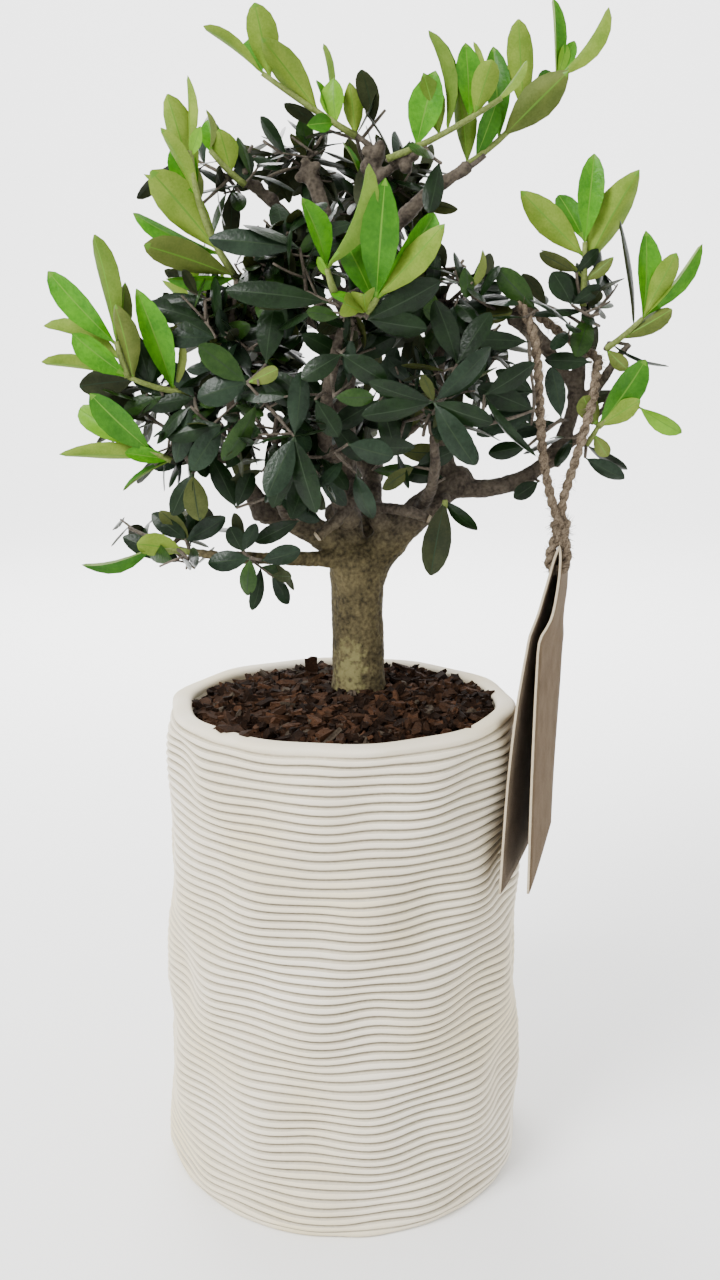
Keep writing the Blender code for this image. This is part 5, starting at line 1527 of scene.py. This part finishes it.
# The old leaves that stand out in the picture: the mass, their root in millimetres, then each
# leaf's bearing, lean, length, width, turn and tone as above.
OLD_LEAVES = (
    ("inner_right", (27.9, -48, 274.3), (
        (49, 5, 23, 7, 15, "blue"), (-78, 15, 20, 6.5, -30, "dark"),
        (-103, 10, 21.5, 7, -20, "dark"), (112, 15, 18.5, 7, 20, "dark"),
        (148, 20, 22, 8, 10, "blue"), (-19, 30, 11, 4, 150, "moss"))),
    ("inner_right", (43.8, -40, 276), ((147, 10, 24, 5.5, 55, "dark"), (60, 0, 18, 7, 10, "dark"))),
    ("inner_right", (35.5, -38, 285.2), ((-18, 0, 20, 8, 10, "dark"), (30, 5, 18, 7, -20, "dark"))),
    ("inner_right", (60.6, -28, 270.9), (
        (-68, 10, 19.5, 8, 10, "dark"), (-110, 5, 17, 7, 20, "blue"))),
    ("inner_left", (-13.9, -45, 263.9), (
        (9, 5, 19, 7, 15, "blue"), (-155, 20, 20, 8.5, 10, "blue"), (-165, 0, 23, 7.5, -20, "dark"),
        (165, 5, 24, 8, 10, "dark"), (85, 10, 10, 4, 80, "dark"), (-92, 5, 12, 4, 80, "dark"))),
    ("inner_left", (-28.1, -42, 279.7), (
        (-51, 10, 18, 8, 10, "moss"), (-105, 10, 15.5, 9, 10, "blue"),
        (68, 15, 11, 5, 160, "khaki"))),
    ("inner_left", (-25.2, -42, 273.7), ((-154, 10, 20, 7, -35, "moss"),)),
    ("inner_left", (-46.4, -34, 272.4), (
        (-162, 5, 18, 7, 15, "blue"), (-130, 0, 16, 6, 40, "dark"))),
    ("inner_left", (-36.7, -36, 267), ((-146, 10, 17, 8, 0, "blue"), (-100, 0, 18, 7, 20, "dark"))),
    ("inner_left", (-47.1, -28, 251.1), (
        (175, 5, 15, 8, 160, "moss"), (-150, 5, 15, 7, 20, "dark"))),
    ("inner_left", (-22.4, -40, 285.2), ((7, 0, 18, 8.5, -10, "dark"),)),
    ("inner_left", (2.2, -40, 261.2), (
        (106, 15, 14.5, 8, 10, "blue"), (96, -10, 22, 6.5, 10, "dark"))),
    ("inner_left", (4.6, -32, 251.5), ((163, 10, 15, 7, 25, "blue"),)),
    ("inner_left", (-7.5, -43, 274.8), ((148, 5, 13, 7, 0, "dark"),)),
    ("front_top", (-1.8, -45, 275.6), ((90, 20, 12, 5.5, 0, "moss"),)),
    ("front_top", (0.6, -45, 288.2), (
        (123, 15, 15.5, 8, 10, "dark"), (-120, 10, 14, 7, 10, "dark"))),
    ("front_top", (-3.2, -46, 303.1), ((-81, 10, 30, 8, 15, "dark"),)),
    ("front_top", (-12, -38, 319), ((-83, 5, 27, 8, 10, "blue"), (-60, 0, 18, 7, 60, "dark"))),
    ("front_top", (8, -46, 298.3), ((65, 5, 24, 9, 10, "dark"), (100, 5, 18, 7.5, 10, "dark"))),
    ("front_top", (0.1, -48, 298.9), ((-81, 20, 10, 4.5, 0, "moss"),)),
    ("shoulder_right", (59.7, -18, 291.7), ((-87, 5, 19, 6.5, 20, "dark"),)),
    ("shoulder_right", (62.5, -12, 301.8), ((-47, 10, 18, 8, -10, "moss"),)),
    ("shoulder_right", (58.1, -16, 299.4), ((-92, 0, 17, 4, 70, "dark"),)),
    ("far_right", (74.6, -6, 303.5), ((-30, 5, 12, 8, 10, "dark"), (60, 5, 11, 5, 20, "dark"))),
    ("far_right", (76.5, -2, 313.8), ((-63, 5, 14, 5, 155, "moss"), (45, 5, 10, 5, 20, "dark"))),
    ("far_right", (81.4, -8, 285.3), ((-86, 10, 15, 6, 10, "dark"),)),
    ("low_right", (72, -10, 267.1), ((-11, 5, 17, 7, 15, "blue"),)),
    ("low_right", (80.3, -10, 254.5), ((120, 5, 15, 6, 20, "blue"),)),
    ("low_right", (65.9, -6, 246.3), ((-124, 0, 10, 5.5, 10, "dark"),)),
    ("low_left", (-29.6, -24, 223.3), (
        (-96, 5, 14, 7, 10, "blue"), (-172, 5, 12.5, 6, 10, "moss"))),
    ("low_left", (-26, -24, 222.5), ((76, 10, 13, 7, 10, "blue"),)),
    ("low_left", (-32.3, -22, 225.1), ((-27, 5, 9, 6, 0, "dark"), (30, 0, 10, 5, 20, "blue"))),
    ("low_left", (-51, -20, 228.5), ((62, 10, 15, 7, 15, "blue"),)),
    ("low_left", (-49.9, -18, 226.6), ((-32, 5, 15, 7, 150, "moss"), (15, 0, 13, 6, 30, "dark"))),
    ("low_left", (-13.7, -16, 234.6), ((-115, 0, 17, 6, 10, "dark"),)),
    ("front_top", (3, -27, 286), (
        (-140, 0, 17, 7, 20, "dark"), (115, -10, 18, 7, 10, "blue"), (60, 10, 16, 7, -10, "dark"),
        (-60, 0, 17, 7, 30, "dark"))),
    ("inner_right", (12, -25, 274), (
        (-120, 0, 17, 7, 10, "dark"), (160, 0, 18, 7, -20, "dark"), (20, 5, 17, 7, 20, "blue"),
        (80, 0, 16, 7, 15, "dark"))),
    ("inner_left", (-4, -24, 268), (
        (-160, 0, 17, 7, 15, "dark"), (140, 0, 17, 7, -15, "dark"), (-30, 5, 17, 7, 10, "dark"))),
    ("inner_right", (18, -12, 257), (
        (-85, 5, 15, 6.5, 20, "moss"), (95, 0, 15, 6.5, 160, "moss"), (20, 5, 15, 6, 30, "dark"),
        (165, 10, 13, 5, 60, "dark"))),
    ("inner_right", (24, -14, 252), ((70, 5, 14, 6.5, 10, "dark"), (-120, 5, 13, 6, 150, "moss"))),
    ("shoulder_left", (-42.7, -20, 304.6), ((-95, 0, 18, 7, 10, "dark"),)),
    ("shoulder_left", (-42.8, -20, 297.8), (
        (-72, 5, 20, 7.5, 15, "dark"), (-110, 0, 15, 6, 150, "moss"))),
    ("shoulder_left", (-39.3, -22, 292.9), (
        (-88, 5, 19, 7, 0, "blue"), (-60, 0, 16, 6, 20, "dark"))),
    ("far_left", (-60.6, -20, 278), ((-15, 0, 15, 6.5, 10, "dark"), (20, 0, 14, 6, 30, "dark"))),
    ("far_left", (-56.8, -20, 274.9), ((-108, 0, 14, 6, 10, "moss"), (-50, 0, 13, 6, 20, "dark"))),
    ("inner_left", (-46.7, -20, 274.3), (
        (-98, 5, 16, 6.5, 10, "dark"), (-35, 0, 14, 6, 10, "blue"))),
    ("inner_left", (-34.1, -22, 239.3), ((-22, 5, 17, 7, 20, "dark"), (25, 0, 13, 6, 10, "dark"))),
    ("shoulder_right", (61.7, -18, 276.1), (
        (-95, 5, 17, 8, 10, "dark"), (-60, 0, 14, 6, 20, "dark"))),
    ("shoulder_right", (61.1, -18, 265.6), (
        (-78, 5, 14, 6.5, 0, "dark"), (-20, 0, 13, 6, 20, "blue"))),
    ("shoulder_right", (57.6, -16, 270.9), ((-120, 5, 16, 7, 15, "dark"),)),
    ("low_right", (60.8, -14, 258.6), ((-100, 0, 13, 6, 10, "dark"),)),
    ("low_left", (-51, -19, 228.6), ((-52, 0, 14, 6.5, 10, "dark"), (-18, 0, 12, 5, 30, "dark"))),
    ("inner_right", (10, -8, 250.2), ((95, 0, 15, 5.5, 20, "moss"),)),
    ("inner_right", (34.3, -8, 247.6), ((-82, 0, 15, 6, 10, "dark"),)),
    ("inner_right", (40, -10, 307.3), ((-15, 0, 13, 5, 60, "dark"), (25, 0, 14, 5, 120, "khaki"))),
)
LIMB_MARKS = 12
LIMB_POINTS = [point for name in LIMB_ARCS for point in limb_route(name, LIMB_MARKS)]


def leaf_heading(bearing, lean):
    """A leaf's direction, from its bearing and its lean towards the viewer in degrees."""
    bearing, lean = math.radians(bearing), math.radians(lean)
    flat = math.cos(lean)
    return Vector((math.sin(bearing) * flat, -math.sin(lean), math.cos(bearing) * flat))


def shown_places():
    """Three places along each leaf of the picture."""
    leaves = [(through(*[millimetres(place) for place in arc], row[0]), *row[1:4])
              for _mass, *arc, rows in SHOOTS for row in rows]
    leaves += [(millimetres(root), *row[:3]) for _mass, root, rows in OLD_LEAVES for row in rows]
    return np.array([root + leaf_heading(bearing, lean) * length * share * MM
                     for root, bearing, lean, length in leaves for share in (0.35, 0.65, 0.95)])


SHOWN_PLACES = shown_places()


def grown_sprays():
    """Every mass by the rule, thinned where the sky shows, then carried on to finer twigs."""
    rods = obstacle_segments()
    sites, owners = space_sites()
    sprays = []
    for name, limb, hub, count, seed in MASSES:
        spray = Spray(name, limb, hub, count, seed, rods, sites, owners)
        fine, kept, young_share = FINER[name]
        spray.pictured(kept, seed + 2 * FINE_SEED)
        spray.finer(fine, seed + FINE_SEED, young_share)
        spray.without_bare_twigs()
        sprays.append(spray)
    return sprays


LEAF_STATIONS = (0, 0.07, 0.18, 0.34, 0.52, 0.69, 0.83, 0.94, 1.0)
MATURE_OUTLINES = ((0.07, 0.11, 0.46, 0.81, 1.0, 0.98, 0.79, 0.46, 0.10),)
YOUNG_OUTLINES = (
    (0.09, 0.14, 0.45, 0.80, 1.0, 0.92, 0.66, 0.32, 0.03),
    (0.09, 0.13, 0.40, 0.75, 0.97, 1.0, 0.86, 0.53, 0.08),
    (0.09, 0.13, 0.42, 0.77, 0.99, 0.98, 0.80, 0.45, 0.06),
)

# The ranges of a blade's arch, fold, twist and curl.
MATURE_BENDS = ((0.01, 0.08), (-0.075, -0.01), (-0.5, 0.5), (0.02, 0.2))
YOUNG_BENDS = ((0.0, 0.07), (0.04, 0.14), (-0.3, 0.3), (-0.04, 0.10))
LEAF_KINDS = 8
LEAF_COLUMNS = (-1, -0.55, -0.05, 0.05, 0.55, 1)
RIB_COLUMNS = 0.015
BLADE_THICKNESS = 0.022


def leaf_template(outline, arch, fold, twist, curl):
    """A blade one unit long and one unit wide with a top and an underside of separate slots.

    Its root is at the origin, it runs along +Z, and its face is +Y. The slots are the top (0),
    the rib's line on top (1) and the underside (2).
    """
    rows, columns = len(LEAF_STATIONS) - 1, len(LEAF_COLUMNS) - 1
    shape = bmesh.new()
    bmesh.ops.create_grid(shape, x_segments=columns, y_segments=rows, size=0.5)
    for vertex in shape.verts:
        column = round((vertex.co.x + 0.5) * columns)
        row = round((vertex.co.y + 0.5) * rows)
        share = LEAF_STATIONS[row]
        across = LEAF_COLUMNS[column]
        half = 0.5 * outline[row]
        bend = arch * 4 * share * (1 - share) - curl * share * share
        lift = fold * abs(across) ** 1.4 * outline[row]
        turn = twist * (share - 0.3)
        side, up = across * half, bend + lift
        vertex.co = (side * math.cos(turn) - lift * math.sin(turn),
                     side * math.sin(turn) * 0.4 + up, share)
    for face in shape.faces:
        across = sum(abs(vertex.co.x) for vertex in face.verts) / len(face.verts)
        face.material_index = 1 if across < 0.5 * LEAF_COLUMNS[3] + RIB_COLUMNS else 0
    everything = shape.verts[:] + shape.edges[:] + shape.faces[:]
    copy = bmesh.ops.duplicate(shape, geom=everything)["geom"]
    under = [item for item in copy if isinstance(item, bmesh.types.BMFace)]
    bmesh.ops.reverse_faces(shape, faces=under)
    for face in under:
        face.material_index = 2 if face.material_index == 0 else 1
    for item in copy:
        if isinstance(item, bmesh.types.BMVert) and not item.is_boundary:
            item.co.y -= BLADE_THICKNESS
    bmesh.ops.remove_doubles(shape, verts=shape.verts, dist=0.0005)
    return mesh_from("leaf", shape)


def leaf_kinds(outlines, bends, rng):
    """Several blades of the outlines in turn, each bent in its own way."""
    return [leaf_template(outlines[kind % len(outlines)], *[rng.uniform(*bend) for bend in bends])
            for kind in range(LEAF_KINDS)]


# Each tone's name, share of the rule's leaves, and its darkest and lightest top and underside.
MATURE_TONES = (
    ("blue", 3, (0.0042, 0.0105, 0.0045), (0.0120, 0.0245, 0.0120),
     (0.014, 0.019, 0.006), (0.028, 0.034, 0.012)),
    ("dark", 5, (0.0024, 0.0078, 0.0018), (0.0060, 0.0170, 0.0040),
     (0.010, 0.014, 0.004), (0.021, 0.026, 0.008)),
    ("moss", 2, (0.0075, 0.024, 0.003), (0.018, 0.044, 0.006),
     (0.028, 0.036, 0.007), (0.050, 0.060, 0.014)),
)
MATURE_RIB = (0.013, 0.025, 0.010)
YOUNG_TONES = (
    ("bright", 5, (0.026, 0.13, 0.001), (0.060, 0.215, 0.004),
     (0.085, 0.16, 0.010), (0.13, 0.215, 0.020)),
    ("lime", 3, (0.085, 0.22, 0.006), (0.13, 0.28, 0.014),
     (0.095, 0.165, 0.013), (0.155, 0.225, 0.026)),
    ("grass", 3, (0.016, 0.085, 0.001), (0.036, 0.14, 0.004),
     (0.055, 0.11, 0.007), (0.095, 0.155, 0.016)),
    ("khaki", 1, (0.020, 0.075, 0.003), (0.042, 0.11, 0.006),
     (0.058, 0.083, 0.012), (0.095, 0.12, 0.022)),
)
YOUNG_RIB = (0.080, 0.185, 0.014)
MATURE_ROUGHNESS = 0.31
YOUNG_ROUGHNESS = 0.38
UNDERSIDE_ROUGHNESS = 0.62
LEAF_SHEEN = 0.15
LEATHER = 0.16 * MM


def leaf_materials(name, tones, rib, roughness):
    """The three slots of a leaf piece: leathery top, rib line and duller underside."""
    return (
        mottled_material(
            "leaf_" + name, tones[:2], roughness, blotches=140, grains=900, grain_share=0.35,
            relief=LEATHER, sheen=LEAF_SHEEN),
        new_material("leaf_rib_" + name, rib, roughness, LEAF_SHEEN)[0],
        mottled_material(
            "leaf_under_" + name, tones[2:], UNDERSIDE_ROUGHNESS, blotches=160, grains=1500,
            grain_share=0.35, sheen=LEAF_SHEEN))


def leaf_matrix(root, along, face, length, width):
    side = along.cross(face)
    turn = Matrix((side, face, along)).transposed().to_4x4()
    return Matrix.Translation(root) @ turn @ Matrix.Diagonal((width, length, length, 1))


def leaf_pieces(sprays):
    """Deals the leaves out by tone and joins each tone's into one piece."""
    rng = random.Random(77)
    mature = leaf_kinds(MATURE_OUTLINES, MATURE_BENDS, rng)
    young = leaf_kinds(YOUNG_OUTLINES, YOUNG_BENDS, rng)
    heaps = {tone[0]: [] for tone in MATURE_TONES + YOUNG_TONES}
    for spray in sprays:
        for root, along, face, length, is_young in spray.leaves:
            kinds, tones, wide = mature, MATURE_TONES, MATURE_WIDE
            if is_young:
                kinds, tones, wide = young, YOUNG_TONES, YOUNG_WIDE
            tone = rng.choices(tones, [tone[1] for tone in tones])[0][0]
            width = length * wide * rng.uniform(0.9, 1.1)
            outward = root + along * length / 2 - CROWN_MIDDLE
            face = face + (outward.normalized() + Vector((0, 0, 0.5))) * LIGHT_SEEKING
            face = (face - along * face.dot(along)).normalized()
            heaps[tone].append((rng.choice(kinds), leaf_matrix(root, along, face, length, width)))
        for root, along, face, length, width, tone in spray.shown:
            kinds = mature if tone in [row[0] for row in MATURE_TONES] else young
            heaps[tone].append((rng.choice(kinds), leaf_matrix(root, along, face, length, width)))
    for tones, rib, roughness, slot in (
            (MATURE_TONES, MATURE_RIB, MATURE_ROUGHNESS, "leaf"),
            (YOUNG_TONES, YOUNG_RIB, YOUNG_ROUGHNESS, "young_leaf")):
        for name, _share, *shades in tones:
            leaves = object_from("leaves_" + name, add_copies(bmesh.new(), heaps[name]), 75)
            dress(leaves, leaf_materials(name, shades, rib, roughness), slot, *MASS_NAMES)


TWIG_STEPS = 5
TWIG_BOW = 0.035
TWIG_SWELL = 0.1


def twig_route(start, end, radius, tip_radius, rng):
    """A twig's gently bowed route, a little uneven in thickness."""
    bow = Vector([rng.uniform(-1, 1) for _axis in range(3)]) * (end - start).length * TWIG_BOW
    route = []
    for step in range(TWIG_STEPS + 1):
        share = step / TWIG_STEPS
        place = start.lerp(end, share) + bow * 4 * share * (1 - share)
        swell = 1 + TWIG_SWELL * rng.uniform(-1, 1)
        route.append((place, (radius + (tip_radius - radius) * share) * swell))
    return route


TWIG_SHARE = 0.78
TWIG_BARK = ((0.036, 0.029, 0.021), (0.10, 0.082, 0.062))
GREEN_STEM = ((0.080, 0.105, 0.022), (0.155, 0.195, 0.050))


def twig_pieces(sprays):
    """All woody twigs as one piece, slimmer than in the solids, and all soft stems as another."""
    rng = random.Random(19)
    woody, soft = [], []
    for spray in sprays:
        soft += spray.stems
        for start, end, radius, tip_radius, is_young in spray.twigs:
            route = twig_route(start, end, radius * TWIG_SHARE, tip_radius * TWIG_SHARE, rng)
            (soft if is_young else woody).append(route)
    for name, routes, tones, slot in (("twigs_woody", woody, TWIG_BARK, "bark"),
                                      ("stems_green", soft, GREEN_STEM, "young_leaf")):
        mesh = tubes(name, routes, 1)
        mesh.shade_smooth()
        material = mottled_material(
            name, tones, roughness=0.75, blotches=200, grains=1400, grain_share=0.5,
            relief=0.1 * MM)
        dress(link(bpy.data.objects.new(name, mesh)), [material], slot, *MASS_NAMES)


sprays = grown_sprays()
leaf_pieces(sprays)
twig_pieces(sprays)
